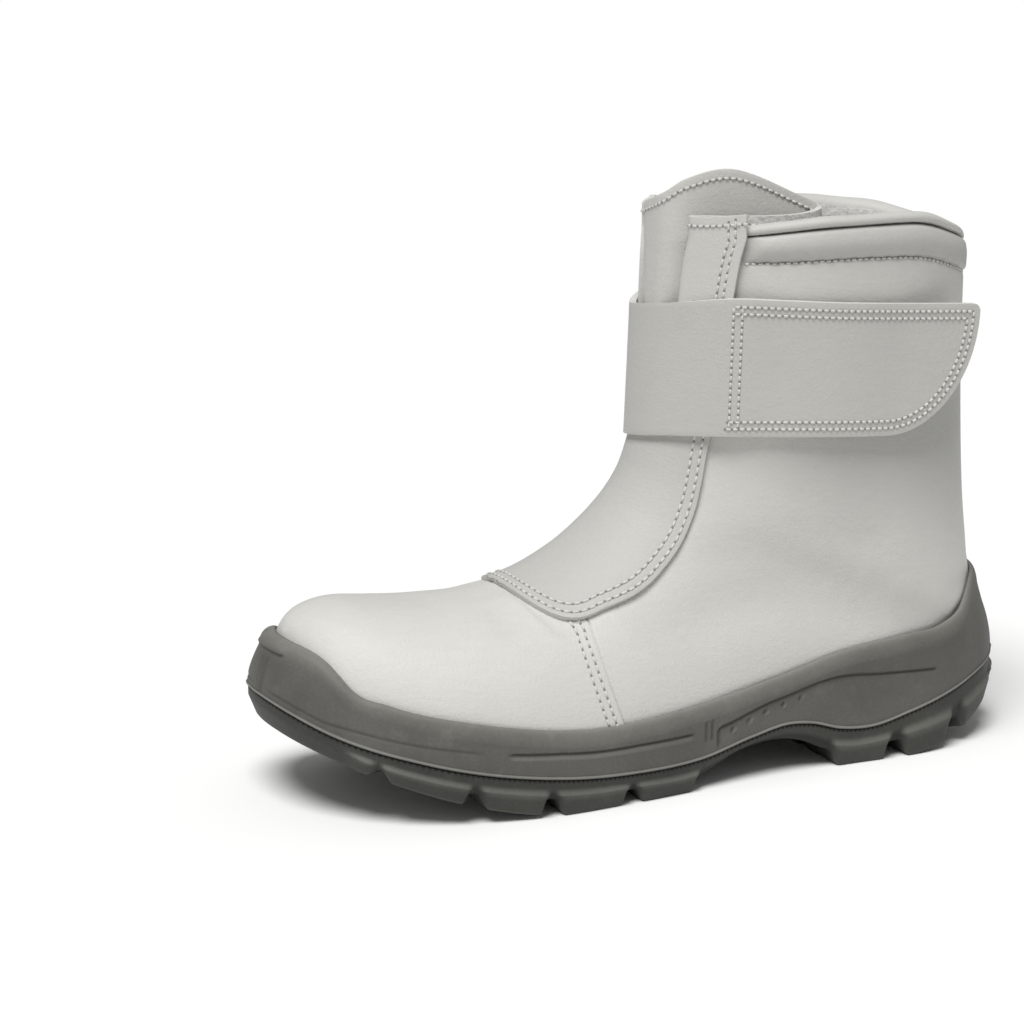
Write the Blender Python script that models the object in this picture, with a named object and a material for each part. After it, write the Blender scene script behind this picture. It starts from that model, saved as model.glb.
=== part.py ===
"""Left cold storage boot: white microfibre upper with a bellows front on a two-part grey polyurethane sole.

Lengths are in millimetres until the meshes are made. The toe points to -X, the outer (lateral) side of the
foot to -Y, and the floor is z = 0.
"""

import bmesh
import bpy
import numpy as np
from mathutils import Vector
from mathutils.bvhtree import BVHTree

# Driving dimensions
MM = 0.001
LAST_LENGTH = 287.0
BALL_WIDTH = 93.0
HEEL_HEIGHT = 30.0
INSTEP_HEIGHT = 84.0
SHAFT_HEIGHT = 200.0
TOE_X = -149.0
WALL = 2.8
SEAT_GAP = 0.35
CUP_GAP = 1.0
WELD = 0.002
RAY_NUDGE = 0.01
LATERAL, MEDIAL = -1, 1

# Upper details
COLLAR_RISE = 8.0
SEAM_STEP, SEAM_STEP_START, SEAM_STEP_BLEND = 0.9, 4.0, (6.0, 16.0)
SEAM_SECTION, SEAM_FOOT = 7.1, 7.14
SEAM_BOW = 1.9
SEAM_BOW_TOP, SEAM_BOW_END = 0.42, 0.8
BAND_BULGE, BAND_ARC, BAND_BLEND = 2.2, (0.12, 0.88), (0.5, 8.0)
BAND_START, BAND_END = 18.05, 19.0
THROAT_START, THROAT_FULL = 7.8, 8.6
PANEL_OVERLAP = 9.0

# Front panel details
PANEL_THICKNESS = 1.8
PANEL_TIP, PANEL_SHOULDER = 6.47, 7.7
PANEL_ROUNDNESS = 2.7
PANEL_SEWN_SHARE = 0.88
PANEL_SEWN_MARGIN = 14.0
PANEL_SEAT_GAP = 0.85
PANEL_NARROW_HALF = 30.0
FOLD_START, FOLD_FULL = 13.6, 17.0
HEM_HEIGHT = 8.5

# Strap details
STRAP_THICKNESS = 2.6
STRAP_SEWN_COLUMNS, STRAP_LATERAL_COLUMNS = 3, 5
STRAP_PROBE = 0.3
STRAP_FREE_LENGTH = 36.0
STRAP_LOW_CUT, STRAP_HIGH_CUT = 131.0, 172.0
STRAP_CORNER_LENGTH, STRAP_CORNER_HEIGHT = 36.0, 44.0

# Sole details
FAN_TOE_X, FAN_HEEL_X = -98.0, 98.0
FAN_MM_PER_DEGREE = 0.8
SPINE_SWING = 5.0
SOLE_END = FAN_HEEL_X + 90.0 * FAN_MM_PER_DEGREE
STEP_DEPTH = 0.8
RIB_OUT = 0.8
PARTING_GAP = 0.3
LUG_DRAFT = 1.4
LUG_DEPTH_IN = 24.0
LUG_PROUD = 1.2
CENTRE_LUG_HALF = 13.0
INSOLE_THICKNESS = 4.0


class Table:
    """Rows of named columns, read at any place along the first column through a smooth curve."""

    def __init__(self, names, rows):
        self.columns = dict(zip(names.split(), np.array(rows, float).T))
        self.places = self.columns[names.split()[0]]

    def at(self, name, where, start_slope=None):
        xs, ys = self.places, self.columns[name]
        slopes = np.gradient(ys, xs)
        if start_slope is not None:
            slopes[0] = start_slope
        where = np.clip(where, xs[0], xs[-1])
        row = np.clip(np.searchsorted(xs, where, side="right") - 1, 0, len(xs) - 2)
        step = xs[row + 1] - xs[row]
        part = (where - xs[row]) / step
        rest = 1.0 - part
        return (ys[row] * (1 + 2 * part) * rest ** 2 + slopes[row] * step * part * rest ** 2
                + ys[row + 1] * (3 - 2 * part) * part ** 2 - slopes[row + 1] * step * rest * part ** 2)


# Sections of the last, fanned from the toe round the heel to the collar. Front is the crest of the foot or
# the front of the shaft, back is the lasting edge or the back seam. Along is in percent of LAST_LENGTH, up in
# percent of SHAFT_HEIGHT, half widths in percent of BALL_WIDTH, close in degrees, swing to the medial side in
# millimetres.
SECTIONS = Table("section front_along front_up back_along back_up lateral medial widest close swing square", (
    (0, 1.7, 31.2, 0.0, 21.5, 0.0, 0.0, 95, 8, 9.0, 2.3),
    (1, 2.8, 33.5, 0.9, 21.0, 18.3, 16.1, 95, 8, 9.0, 2.3),
    (2, 5.2, 35.6, 3.1, 19.8, 31.2, 27.4, 95, 8, 8.5, 2.3),
    (3, 9.1, 36.6, 6.6, 18.0, 40.9, 34.4, 94, 10, 8.0, 2.3),
    (4, 14.3, 36.1, 12.2, 15.2, 49.5, 39.8, 93, 12, 6.5, 2.3),
    (5, 20.6, 35.5, 19.9, 12.8, 55.4, 43.0, 92, 14, 5.0, 2.3),
    (6, 27.5, 35.9, 30.3, 10.5, 57.0, 43.0, 90, 15, 3.5, 2.3),
    (7, 33.4, 37.8, 40.4, 9.5, 54.8, 38.7, 86, 17, 2.5, 2.2),
    (8, 39.0, 42.0, 49.8, 9.5, 51.1, 34.9, 80, 18, 1.5, 2.2),
    (9, 43.2, 46.5, 61.0, 11.2, 46.8, 34.9, 74, 20, 1.0, 2.2),
    (10, 46.7, 51.2, 73.5, 13.0, 45.2, 39.2, 68, 22, 0.5, 2.2),
    (11, 49.0, 55.8, 86.8, 14.8, 45.7, 43.0, 62, 32, 0.0, 2.2),
    (12, 50.3, 60.0, 95.1, 15.8, 46.8, 45.2, 57, 57, 0.0, 2.2),
    (13, 51.2, 64.0, 99.0, 16.8, 47.8, 46.8, 54, 78, 0.0, 2.2),
    (14, 51.9, 68.0, 100.0, 19.0, 48.4, 47.8, 52, 90, 0.0, 2.2),
    (15, 52.3, 73.0, 99.1, 29.0, 49.5, 48.9, 51, 90, 0.0, 2.2),
    (16, 52.5, 80.0, 97.4, 49.0, 50.5, 50.0, 50, 90, 0.0, 2.2),
    (17, 52.7, 88.0, 96.5, 71.0, 51.1, 50.5, 50, 90, 0.0, 2.2),
    (18, 52.9, 96.0, 96.3, 88.5, 51.6, 51.1, 50, 90, 0.0, 2.2),
    (19, 53.0, 100.0, 96.3, 98.0, 52.2, 51.6, 50, 90, 0.0, 2.2),
))
CLOSED_SECTION, COLLAR_SECTION = 14, 19
LEVEL_SHARES = (0.0, 15.0, 42.0, 100.0)
LEVEL_HEIGHTS = (0.0, HEEL_HEIGHT, INSTEP_HEIGHT, SHAFT_HEIGHT)

# Half width of the front panel, measured over the wall from the crest
PANEL_EDGE = Table("section half_width", (
    (7.7, 38.5), (8.6, 40.0), (9.6, 38.0), (11.0, 33.8), (12.5, 31.8), (14.0, 31.4), (17.4, 35.0),
    (19.0, 39.5),
))

# The bellows in plan at the hem: share of the half panel from centre to seam, place, and lift of the hem on
# each side
FOLDS = Table("share x half_y lateral_lift medial_lift", (
    (0.00, 0.6, 0.0, 6.5, 6.5),
    (0.10, 1.6, 7.5, 9.0, 5.5),
    (0.20, 7.2, 12.3, 13.0, 4.0),
    (0.32, 24.0, 17.5, 17.5, 3.0),
    (0.44, 45.0, 22.6, 8.0, 2.0),
    (0.50, 51.0, 25.8, 3.0, 1.0),
    (0.56, 45.0, 28.9, 1.0, 0.5),
    (0.66, 24.0, 23.6, 0.0, 0.0),
    (0.74, 12.0, 18.0, 0.0, 0.0),
    (0.77, 8.6, 17.4, 0.0, 0.0),
    (0.80, 7.2, 19.6, 0.0, 0.0),
    (0.84, 8.0, 22.8, 0.0, 0.0),
    (0.88, 9.2, 25.6, 0.0, 0.0),
))

# Heights of the strap's edges by run along it from the front of the shaft, positive to the lateral side
STRAP_EDGES = Table("run bottom top", (
    (-75, 126.0, 176.0), (-40, 125.5, 175.0), (-20, 124.0, 173.2), (0, 126.0, 175.4), (20, 128.8, 178.5),
    (40, 129.9, 181.0), (60, 130.0, 180.3), (80, 129.5, 179.0), (100, 128.6, 177.7), (137, 127.5, 175.7),
))

# Height of the cup's rim, of the parting line between midsole and outsole, of the outsole between its lugs,
# and how far the sole stands out from the upper, along the boot
RIM = Table("x z", (
    (-146, 62.0), (-137, 57.5), (-130, 47.6), (-120, 43.3), (-90, 35.8), (-45, 29.6), (0, 32.2), (35, 38.6),
    (60, 45.0), (88, 48.0), (107, 50.2), (115, 54.5), (122, 63.0), (138, 67.5),
))
PARTING = Table("x z", (
    (-155, 41.0), (-140, 33.0), (-112, 23.7), (-65, 14.2), (-30, 11.3), (0, 12.2), (22, 16.8), (38, 19.4),
    (48, 18.3), (60, 14.8), (74, 13.8), (92, 17.8), (111, 22.9), (132, 28.0), (148, 31.0),
))
TREAD_BASE = Table("x z", (
    (-155, 36.0), (-124, 19.0), (-94, 9.7), (-64, 5.6), (-31, 4.8), (-2, 5.2), (17, 12.0), (31, 13.8),
    (44, 11.8), (55, 7.0), (84, 6.2), (115, 10.5), (135, 17.0), (148, 23.0),
))
FLARE = Table("x out", ((-155, 6.5), (-50, 5.5), (30, 4.5), (80, 5.0), (120, 8.0), (148, 11.5)))

# Height of the step on the sole's side above the floor, by place round the sole
SIDE_STEP = Table("place z", (
    (-170, 46.0), (-140, 38.0), (-105, 28.0), (-80, 22.5), (-45, 20.5), (-8, 22.0), (8, 23.0), (25, 28.5),
    (42, 33.0), (58, 36.0), (78, 35.0), (110, 33.5), (170, 39.0),
))

# Lugs by place round the sole, from the toe to the heel
LUGS = (
    ("toe", -SOLE_END, -124.0), ("ball 1", -116.0, -98.0), ("ball 2", -89.0, -69.0), ("ball 3", -60.0, -36.0),
    ("ball 4", -27.0, -5.5), ("heel 1", 60.0, 80.0), ("heel 2", 91.0, 110.0), ("heel 3", 123.0, 143.0),
    ("heel back", 152.0, SOLE_END),
)
TOE_SPRING_X, TOE_SPRING_END, TOE_SPRING, TOE_SPRING_POWER = -58.0, -145.0, 26.0, 1.5
HEEL_BEVEL_X, HEEL_BEVEL_END, HEEL_BEVEL, HEEL_BEVEL_POWER = 92.0, 147.0, 18.0, 1.6


def smooth_step(low, high, value):
    part = np.clip((np.asarray(value, float) - low) / (high - low), 0.0, 1.0)
    return part * part * (3.0 - 2.0 * part)


def height(share):
    return np.interp(share, LEVEL_SHARES, LEVEL_HEIGHTS)


# The upper's own surface

def section_value(name, section):
    """A column of the sections; half widths grow evenly out of the toe tip, all else starts level there."""
    start = SECTIONS.columns[name][1] if name in ("lateral", "medial") else 0.0
    return SECTIONS.at(name, section, start)


def upper_point(section, around, side):
    """Outer surface of the upper. Around runs from the crest or front (0) to the lasting edge or back (1)."""
    section, around = np.broadcast_arrays(np.asarray(section, float), np.asarray(around, float))
    half = section_value("lateral" if side == LATERAL else "medial", section) * BALL_WIDTH / 100
    widest = section_value("widest", section) / 100
    close = np.radians(np.clip(section_value("close", section), 1, 90))
    power = 2 / section_value("square", section)
    turn = around * (np.pi / 2 + close)
    front = np.minimum(turn, np.pi / 2)
    behind = np.maximum(turn - np.pi / 2, 0.0)
    before = turn < np.pi / 2
    out = half * np.where(before, np.sin(front), np.clip(np.cos(behind), 0, 1)) ** power
    share = np.where(before, widest * (1 - np.clip(np.cos(front), 0, 1) ** power),
                     widest + (1 - widest) * (np.sin(behind) / np.sin(close)) ** power)
    front_x = TOE_X + section_value("front_along", section) * LAST_LENGTH / 100
    back_x = TOE_X + section_value("back_along", section) * LAST_LENGTH / 100
    front_z = height(section_value("front_up", section))
    back_z = height(section_value("back_up", section))
    rise = COLLAR_RISE * np.clip((section - CLOSED_SECTION) / (COLLAR_SECTION - CLOSED_SECTION), 0, 1)
    x = front_x + (back_x - front_x) * share
    y = section_value("swing", section) + side * out
    z = front_z + (back_z - front_z) * share + rise * np.sin(np.pi * np.clip(share, 0, 1))
    return np.stack((x, y, z), -1)


def upper_normal(section, around, side):
    """Outward unit normal; it lies in the middle plane where the two sides join."""
    section, around = np.broadcast_arrays(np.asarray(section, float), np.asarray(around, float))
    small = 0.004
    along = (upper_point(np.minimum(section + small, COLLAR_SECTION), around, side)
             - upper_point(np.maximum(section - small, 0), around, side))
    across = (upper_point(section, np.minimum(around + small, 1), side)
              - upper_point(section, np.maximum(around - small, 0), side))
    normal = side * np.cross(along, across)
    tip = section == 0
    joined = tip | (around == 0) | ((around == 1) & (section >= CLOSED_SECTION))
    line = np.where(tip[..., None], across, along)
    upright = np.stack((line[..., 2], np.zeros_like(section), -line[..., 0]), -1)
    away = np.where((around == 1) & ~tip, upright[..., 0], upright[..., 2] - upright[..., 0])
    upright *= np.sign(away)[..., None]
    normal = np.where(joined[..., None], upright, normal)
    return normal / np.linalg.norm(normal, axis=-1, keepdims=True)


def around_at(section, distance, side):
    """The around value at a distance over the wall from the crest."""
    samples = np.linspace(0, 1, 121)
    points = upper_point(section, samples, side)
    lengths = np.concatenate(([0.0], np.cumsum(np.linalg.norm(np.diff(points, axis=0), axis=1))))
    return np.interp(distance, lengths, samples)


def wall_distance(section, around, side):
    """Distance over the wall from the crest at an around value."""
    points = upper_point(section, np.linspace(0, 1, 61) * around, side)
    return np.linalg.norm(np.diff(points, axis=0), axis=1).sum()


def panel_half_width(section):
    """Half width of the front panel: an oval tab on the vamp, then the table."""
    part = np.clip((PANEL_SHOULDER - section) / (PANEL_SHOULDER - PANEL_TIP), 0, 1)
    tab = (1 - part ** PANEL_ROUNDNESS) ** (1 / PANEL_ROUNDNESS)
    return tab * PANEL_EDGE.at("half_width", section)


def throat_half_width(section):
    """Half width of the opening under the front panel, rounded at its lower end."""
    part = np.clip((THROAT_FULL - section) / (THROAT_FULL - THROAT_START), 0, 1)
    return np.sqrt(1 - part ** 2) * (PANEL_EDGE.at("half_width", section) - PANEL_OVERLAP)


def section_at_height(around, z, side):
    """The section that passes a height at an around value on the shaft."""
    low, high = 9.0, float(COLLAR_SECTION)
    for _ in range(40):
        middle = 0.5 * (low + high)
        if upper_point(middle, around, side)[2] < z:
            low = middle
        else:
            high = middle
    return middle


# Building closed meshes

ALL_BORDERS = (np.s_[0, :], np.s_[-1, :], np.s_[:, 0], np.s_[:, -1])


class Shape:
    """Collects sheets of quads in millimetres and welds them into one closed mesh."""

    def __init__(self):
        self.points = []
        self.faces = []

    def sheet(self, grid):
        grid = np.asarray(grid, float)
        rows, columns = grid.shape[:2]
        first = len(self.points)
        self.points.extend(map(tuple, grid.reshape(-1, 3)))
        for row in range(rows - 1):
            for column in range(columns - 1):
                corner = first + row * columns + column
                self.faces.append((corner, corner + 1, corner + columns + 1, corner + columns))

    def shell(self, outer, inner, borders=ALL_BORDERS):
        """Two sheets of the same layout, joined along the given borders."""
        self.sheet(outer)
        self.sheet(inner)
        for border in borders:
            self.sheet(np.stack((outer[border], inner[border])))

    def build(self, name, material, parent):
        mesh = bpy.data.meshes.new(name)
        bm = bmesh.new()
        vertices = [bm.verts.new(np.multiply(point, MM)) for point in self.points]
        for face in self.faces:
            bm.faces.new([vertices[index] for index in face])
        bmesh.ops.remove_doubles(bm, verts=bm.verts, dist=WELD * MM)
        bmesh.ops.dissolve_degenerate(bm, edges=bm.edges, dist=WELD * MM)
        bmesh.ops.recalc_face_normals(bm, faces=bm.faces)
        bm.to_mesh(mesh)
        bm.free()
        mesh.shade_smooth()
        mesh.materials.append(material)
        piece = bpy.data.objects.new(name, mesh)
        piece.parent = parent
        bpy.context.collection.objects.link(piece)
        return piece


def make_material(name, grey, roughness):
    """A plain finish from a display colour of 0 to 255 a channel."""
    material = bpy.data.materials.new(name)
    material.use_nodes = True
    shader = material.node_tree.nodes["Principled BSDF"]
    linear = [((value / 255 + 0.055) / 1.055) ** 2.4 for value in grey]
    shader.inputs["Base Color"].default_value = (*linear, 1.0)
    shader.inputs["Roughness"].default_value = roughness
    shader.inputs["Metallic"].default_value = 0.0
    return material


# Upper

UPPER_ROW_RUNS = (
    (0.0, 2.0, 5), (2.0, 6.6, 7), (6.6, SEAM_SECTION, 1), (SEAM_SECTION, SEAM_FOOT, 1),
    (SEAM_FOOT, THROAT_START, 1), (THROAT_START, THROAT_FULL, 3), (THROAT_FULL, 14.0, 8), (14.0, 18.0, 6),
    (18.0, 18.15, 1), (18.15, 19.0, 3),
)
UPPER_COLUMNS = 11


def row_places(runs):
    parts = [np.linspace(start, end, pieces + 1)[:-1] for start, end, pieces in runs]
    return np.concatenate(parts + [[runs[-1][1]]])


def wall_step(row, section, around, side):
    """How far the wall stands out: the vamp's edge over the quarter, and the padded band under the collar."""
    beyond_panel = wall_distance(section, around, side) - panel_half_width(section)
    vamp = SEAM_STEP * smooth_step(SEAM_STEP_START, SEAM_SECTION, row) * (row <= SEAM_SECTION)
    vamp *= smooth_step(*SEAM_STEP_BLEND, beyond_panel)
    share = np.clip((row - BAND_START) / (BAND_END - BAND_START), 0, 1)
    band = BAND_BULGE * np.sin(np.pi * np.interp(share, (0, 1), BAND_ARC)) * (share > 0)
    band *= smooth_step(*BAND_BLEND, beyond_panel)
    return vamp + band


def upper_columns(section, side):
    """Around values of the upper's mesh columns, from the throat or crest."""
    start = around_at(section, throat_half_width(section), side)
    return start + (1 - start) * np.linspace(0, 1, UPPER_COLUMNS + 1)


def upper_half(side):
    """Outer and inner sheets of one side, from the throat or crest to the lasting edge or back seam."""
    outer, inner = [], []
    for row in row_places(UPPER_ROW_RUNS):
        around = upper_columns(row, side)
        bow = SEAM_BOW * np.clip(SEAM_BOW_END - np.maximum(around, SEAM_BOW_TOP), 0, None) ** 2
        section = row + bow * (SEAM_SECTION <= row <= SEAM_FOOT)
        points = upper_point(section, around, side)
        normals = upper_normal(section, around, side)
        steps = np.array([wall_step(row, s, a, side) for s, a in zip(section, around)])
        outer.append(points + normals * steps[:, None])
        inner.append(points + normals * (steps - WALL)[:, None])
    return np.array(outer), np.array(inner)


def make_upper(material, parent):
    rows = row_places(UPPER_ROW_RUNS)
    throat = np.s_[int(np.searchsorted(rows, THROAT_START)):, 0]
    lasting_edge = np.s_[:int(np.searchsorted(rows, CLOSED_SECTION)) + 1, -1]
    collar = np.s_[-1, :]
    shape = Shape()
    for side in (LATERAL, MEDIAL):
        shape.shell(*upper_half(side), (throat, lasting_edge, collar))
    return shape.build("upper", material, parent)


# Rays from the middle of the sole to the upper

def surface_tree(which):
    """Search tree over the upper's outer (0) or inner (1) faces."""
    points, faces = [], []
    for side in (LATERAL, MEDIAL):
        grid = upper_half(side)[which]
        columns = grid.shape[1]
        first = len(points)
        points.extend(map(Vector, grid.reshape(-1, 3)))
        for row in range(grid.shape[0] - 1):
            for column in range(columns - 1):
                corner = first + row * columns + column
                faces.append((corner, corner + 1, corner + columns + 1, corner + columns))
    return BVHTree.FromPolygons(points, faces)


def spine_y(x):
    return SPINE_SWING * np.clip((FAN_HEEL_X - x) / (FAN_HEEL_X - FAN_TOE_X), 0, 1)


def station(place, side):
    """Origin and outward direction of a cut through the sole: across the foot, fanned at toe and heel."""
    origin_x = float(np.clip(place, FAN_TOE_X, FAN_HEEL_X))
    turn = np.radians(90 - (place - origin_x) / FAN_MM_PER_DEGREE)
    return np.array((origin_x, spine_y(origin_x))), np.array((np.cos(turn), side * np.sin(turn)))


def reach(tree, origin, direction, z):
    """Distance from the spine to the upper at a height, or None where the ray passes it."""
    start = Vector((origin[0], origin[1] + RAY_NUDGE, z))
    hit = tree.ray_cast(start, Vector((*direction, 0.0)))[0]
    return None if hit is None else float(np.hypot(hit.x - origin[0], hit.y - origin[1]))


def lasting_height(x):
    """Height of the upper's lower edge along the boot."""
    edge_x = TOE_X + SECTIONS.columns["back_along"][:CLOSED_SECTION + 1] * LAST_LENGTH / 100
    edge_z = height(SECTIONS.columns["back_up"][:CLOSED_SECTION + 1])
    return np.interp(x, edge_x, edge_z)


class SoleCut:
    """One cut through the sole at a place round it: wall distances, rim height and edge radius."""

    def __init__(self, outer_tree, place, side):
        self.tree, self.place = outer_tree, place
        self.origin, self.direction = station(place, side)
        guess = lasting_height(self.origin[0] + 50 * self.direction[0]) + 8
        self.edge = reach(outer_tree, self.origin, self.direction, guess)
        self.edge_z = lasting_height(self.x(self.edge)) + 1.5
        self.edge = reach(outer_tree, self.origin, self.direction, self.edge_z) or self.edge
        self.rim_z = float(RIM.at("z", self.x(self.edge)))
        for _ in range(3):
            self.rim_z = 0.5 * (self.rim_z + float(RIM.at("z", self.x(self.wall(self.rim_z)))))
        self.flare = float(FLARE.at("out", self.x(self.edge)))
        self.foot = self.edge + self.flare

    def x(self, radius):
        return self.origin[0] + radius * self.direction[0]

    def wall(self, z):
        """Distance to the upper at a height; below its edge, the edge's own."""
        if z <= self.edge_z:
            return self.edge
        return reach(self.tree, self.origin, self.direction, z) or self.edge

    def point(self, radius, z):
        return (*(self.origin + radius * self.direction), z)


def ring_of_cuts(outer_tree, places):
    """Cuts from the heel along the lateral side to the toe and back along the medial side."""
    lateral = [SoleCut(outer_tree, place, LATERAL) for place in places[::-1]]
    medial = [SoleCut(outer_tree, place, MEDIAL) for place in places]
    return lateral + medial


# Midsole

MIDSOLE_PLACES = row_places((
    (-SOLE_END, FAN_TOE_X, 8), (FAN_TOE_X, FAN_HEEL_X, 16), (FAN_HEEL_X, SOLE_END, 10),
))
RIB_HEIGHT, RIB_TOP_DROP, RIB_FOOT_RISE, RIB_TOP_INSET = 2.4, 0.8, 0.3, 0.2
STEP_MARGIN, STEP_HALF = 1.6, 0.4
RIM_LIP = Table("out up", ((CUP_GAP, 0.0), (1.2, 0.9), (2.2, 0.7), (3.0, -0.8), (2.9, -2.6), (2.2, -3.8)))
INNER_WALL_SHARES = (0.0, 0.2, 0.4, 0.6, 0.8)
FLOOR_SHARES = (0.0, 0.55, 0.85)
FLOOR_DROP = 0.9
FLOOR_LEVEL_RUN = 6.0


def midsole_profile(cut):
    """From the middle of the cup's floor up its wall, over the lip and down the side to the parting line."""
    floor_edge = cut.edge + CUP_GAP
    points = []
    for share in FLOOR_SHARES:
        points.append((share * floor_edge, lasting_height(cut.x(share * floor_edge)) - FLOOR_DROP))
    points.append((floor_edge, lasting_height(cut.x(floor_edge - FLOOR_LEVEL_RUN)) - FLOOR_DROP))
    for share in INNER_WALL_SHARES:
        z = cut.edge_z + share * (cut.rim_z - cut.edge_z)
        points.append((cut.wall(z) + CUP_GAP, z))
    rim_wall = cut.wall(cut.rim_z)
    for out, up in zip(RIM_LIP.columns["out"], RIM_LIP.columns["up"]):
        points.append((rim_wall + out, cut.rim_z + up))
    lip_radius, lip_z = points[-1]
    parting_z = float(PARTING.at("z", cut.x(cut.foot))) + PARTING_GAP
    rib_z = parting_z + RIB_HEIGHT
    step_z = float(np.clip(SIDE_STEP.at("z", cut.place), rib_z + STEP_MARGIN, lip_z - STEP_MARGIN))

    def side_radius(z):
        part = (lip_z - z) / (lip_z - parting_z)
        return lip_radius + (cut.foot - lip_radius) * np.sin(0.5 * np.pi * np.clip(part, 0, 1))

    middle_z = 0.5 * (lip_z + step_z)
    low_z = 0.5 * (step_z + rib_z)
    points.append((side_radius(middle_z), middle_z))
    points.append((side_radius(step_z), step_z + STEP_HALF))
    points.append((side_radius(step_z) - STEP_DEPTH, step_z - STEP_HALF))
    points.append((side_radius(low_z) - 0.5 * STEP_DEPTH, low_z))
    points.append((side_radius(rib_z) - RIB_TOP_INSET, rib_z))
    points.append((cut.foot + RIB_OUT, rib_z - RIB_TOP_DROP))
    points.append((cut.foot + RIB_OUT, parting_z + RIB_FOOT_RISE))
    for radius in (cut.foot, 0.5 * cut.foot, 0.0):
        points.append((radius, float(PARTING.at("z", cut.x(radius))) + PARTING_GAP))
    return [cut.point(radius, z) for radius, z in points]


def make_midsole(outer_tree, material, parent):
    shape = Shape()
    shape.sheet([midsole_profile(cut) for cut in ring_of_cuts(outer_tree, MIDSOLE_PLACES)])
    return shape.build("midsole", material, parent)


# Outsole

LUG_STATION_RUN, ARCH_STATIONS = 11, 9
WEB_THICKNESS, LUG_LEAST_DEPTH = 2.5, 1.0
OUTSOLE_SIDE_INSET, GAP_SIDE_INSET = 0.4, 0.8
LUG_FOOT_INSET, GAP_FOOT_INSET = 0.6, 2.4
LEDGE_TOP_SHARE, LEDGE_SHARE = 0.55, 0.25
CENTRE_GAP = 6.0


def tread_height(x):
    """Height of the lugs' lower faces: flat under ball and heel, sprung at the toe, bevelled at the heel."""
    toe = np.clip((TOE_SPRING_X - x) / (TOE_SPRING_X - TOE_SPRING_END), 0, None) ** TOE_SPRING_POWER
    heel = np.clip((x - HEEL_BEVEL_X) / (HEEL_BEVEL_END - HEEL_BEVEL_X), 0, None) ** HEEL_BEVEL_POWER
    return float(toe * TOE_SPRING + heel * HEEL_BEVEL)


def outsole_places():
    """Places of the cuts with whether each is on a lug, a steep end wall between each lug and its gap."""
    places = []
    for _, start, end in LUGS:
        pieces = max(2, round((end - start) / LUG_STATION_RUN))
        on_lug = np.linspace(start, end, pieces + 1)
        places += [(float(place), True) for place in on_lug]
        places += [(start - LUG_DRAFT, False), (end + LUG_DRAFT, False)]
    arch_start, arch_end = LUGS[4][2], LUGS[5][1]
    places += [(float(place), False) for place in np.linspace(arch_start, arch_end, ARCH_STATIONS)[1:-1]]
    return sorted(entry for entry in places if -SOLE_END <= entry[0] <= SOLE_END)


def outsole_profile(cut, on_lug):
    """From the parting face's middle outwards, down the side and over the lugs to the middle of the tread."""
    def parting(radius):
        return float(PARTING.at("z", cut.x(radius))) - PARTING_GAP

    def base(radius):
        return min(float(TREAD_BASE.at("z", cut.x(radius))), parting(radius) - WEB_THICKNESS)

    def lug(radius):
        return min(tread_height(cut.x(radius)), base(radius) - LUG_LEAST_DEPTH) if on_lug else base(radius)

    side = cut.foot - OUTSOLE_SIDE_INSET
    ledge = side + (LUG_PROUD if on_lug else -GAP_SIDE_INSET)
    foot = side - (LUG_FOOT_INSET if on_lug else GAP_FOOT_INSET)
    inner = max(cut.foot - LUG_DEPTH_IN, CENTRE_LUG_HALF + CENTRE_GAP)
    on_side = FAN_TOE_X < cut.place < FAN_HEEL_X
    centre = lug if on_side else base
    points = [(0.0, parting(0.0)), (0.5 * cut.foot, parting(0.5 * cut.foot)), (side, parting(side))]
    points.append((side, base(side) + LEDGE_TOP_SHARE * (parting(side) - base(side))))
    points.append((ledge, base(side) + LEDGE_SHARE * (parting(side) - base(side))))
    points.append((foot, lug(foot)))
    points.append((0.5 * (foot + inner), lug(0.5 * (foot + inner))))
    points.append((inner, lug(inner)))
    points.append((inner - LUG_DRAFT, base(inner)))
    points.append((CENTRE_LUG_HALF + LUG_DRAFT, base(CENTRE_LUG_HALF)))
    points.append((CENTRE_LUG_HALF, centre(CENTRE_LUG_HALF)))
    points.append((0.0, centre(0.0)))
    return [cut.point(radius, z) for radius, z in points]


def make_outsole(outer_tree, material, parent):
    entries = outsole_places()
    cuts = ring_of_cuts(outer_tree, np.array([place for place, _ in entries]))
    flags = [on_lug for _, on_lug in entries]
    shape = Shape()
    shape.sheet([outsole_profile(cut, on_lug) for cut, on_lug in zip(cuts, flags[::-1] + flags)])
    return shape.build("outsole", material, parent)


# Insole

INSOLE_PLACES = row_places(((-SOLE_END, FAN_TOE_X, 6), (FAN_TOE_X, FAN_HEEL_X, 9), (FAN_HEEL_X, SOLE_END, 6)))
INSOLE_EDGE_GAP = 3.0
INSOLE_LIFT = 0.8
INSOLE_BEVEL = 1.0


def insole_profile(cut, inner_tree):
    """From the middle of the top face over the edge to the middle of the underside."""
    probe_z = cut.edge_z + INSOLE_THICKNESS
    edge = reach(inner_tree, cut.origin, cut.direction, probe_z) - INSOLE_EDGE_GAP
    points = []
    for radius in (0.0, 0.55 * edge, edge):
        points.append((radius, lasting_height(cut.x(radius)) + INSOLE_THICKNESS))
    for radius in (edge - INSOLE_BEVEL, 0.55 * edge, 0.0):
        points.append((radius, lasting_height(cut.x(radius)) + INSOLE_LIFT))
    return [cut.point(radius, z) for radius, z in points]


def make_insole(outer_tree, inner_tree, material, parent):
    shape = Shape()
    cuts = ring_of_cuts(outer_tree, INSOLE_PLACES)
    shape.sheet([insole_profile(cut, inner_tree) for cut in cuts])
    return shape.build("insole", material, parent)


# Front panel

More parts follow.
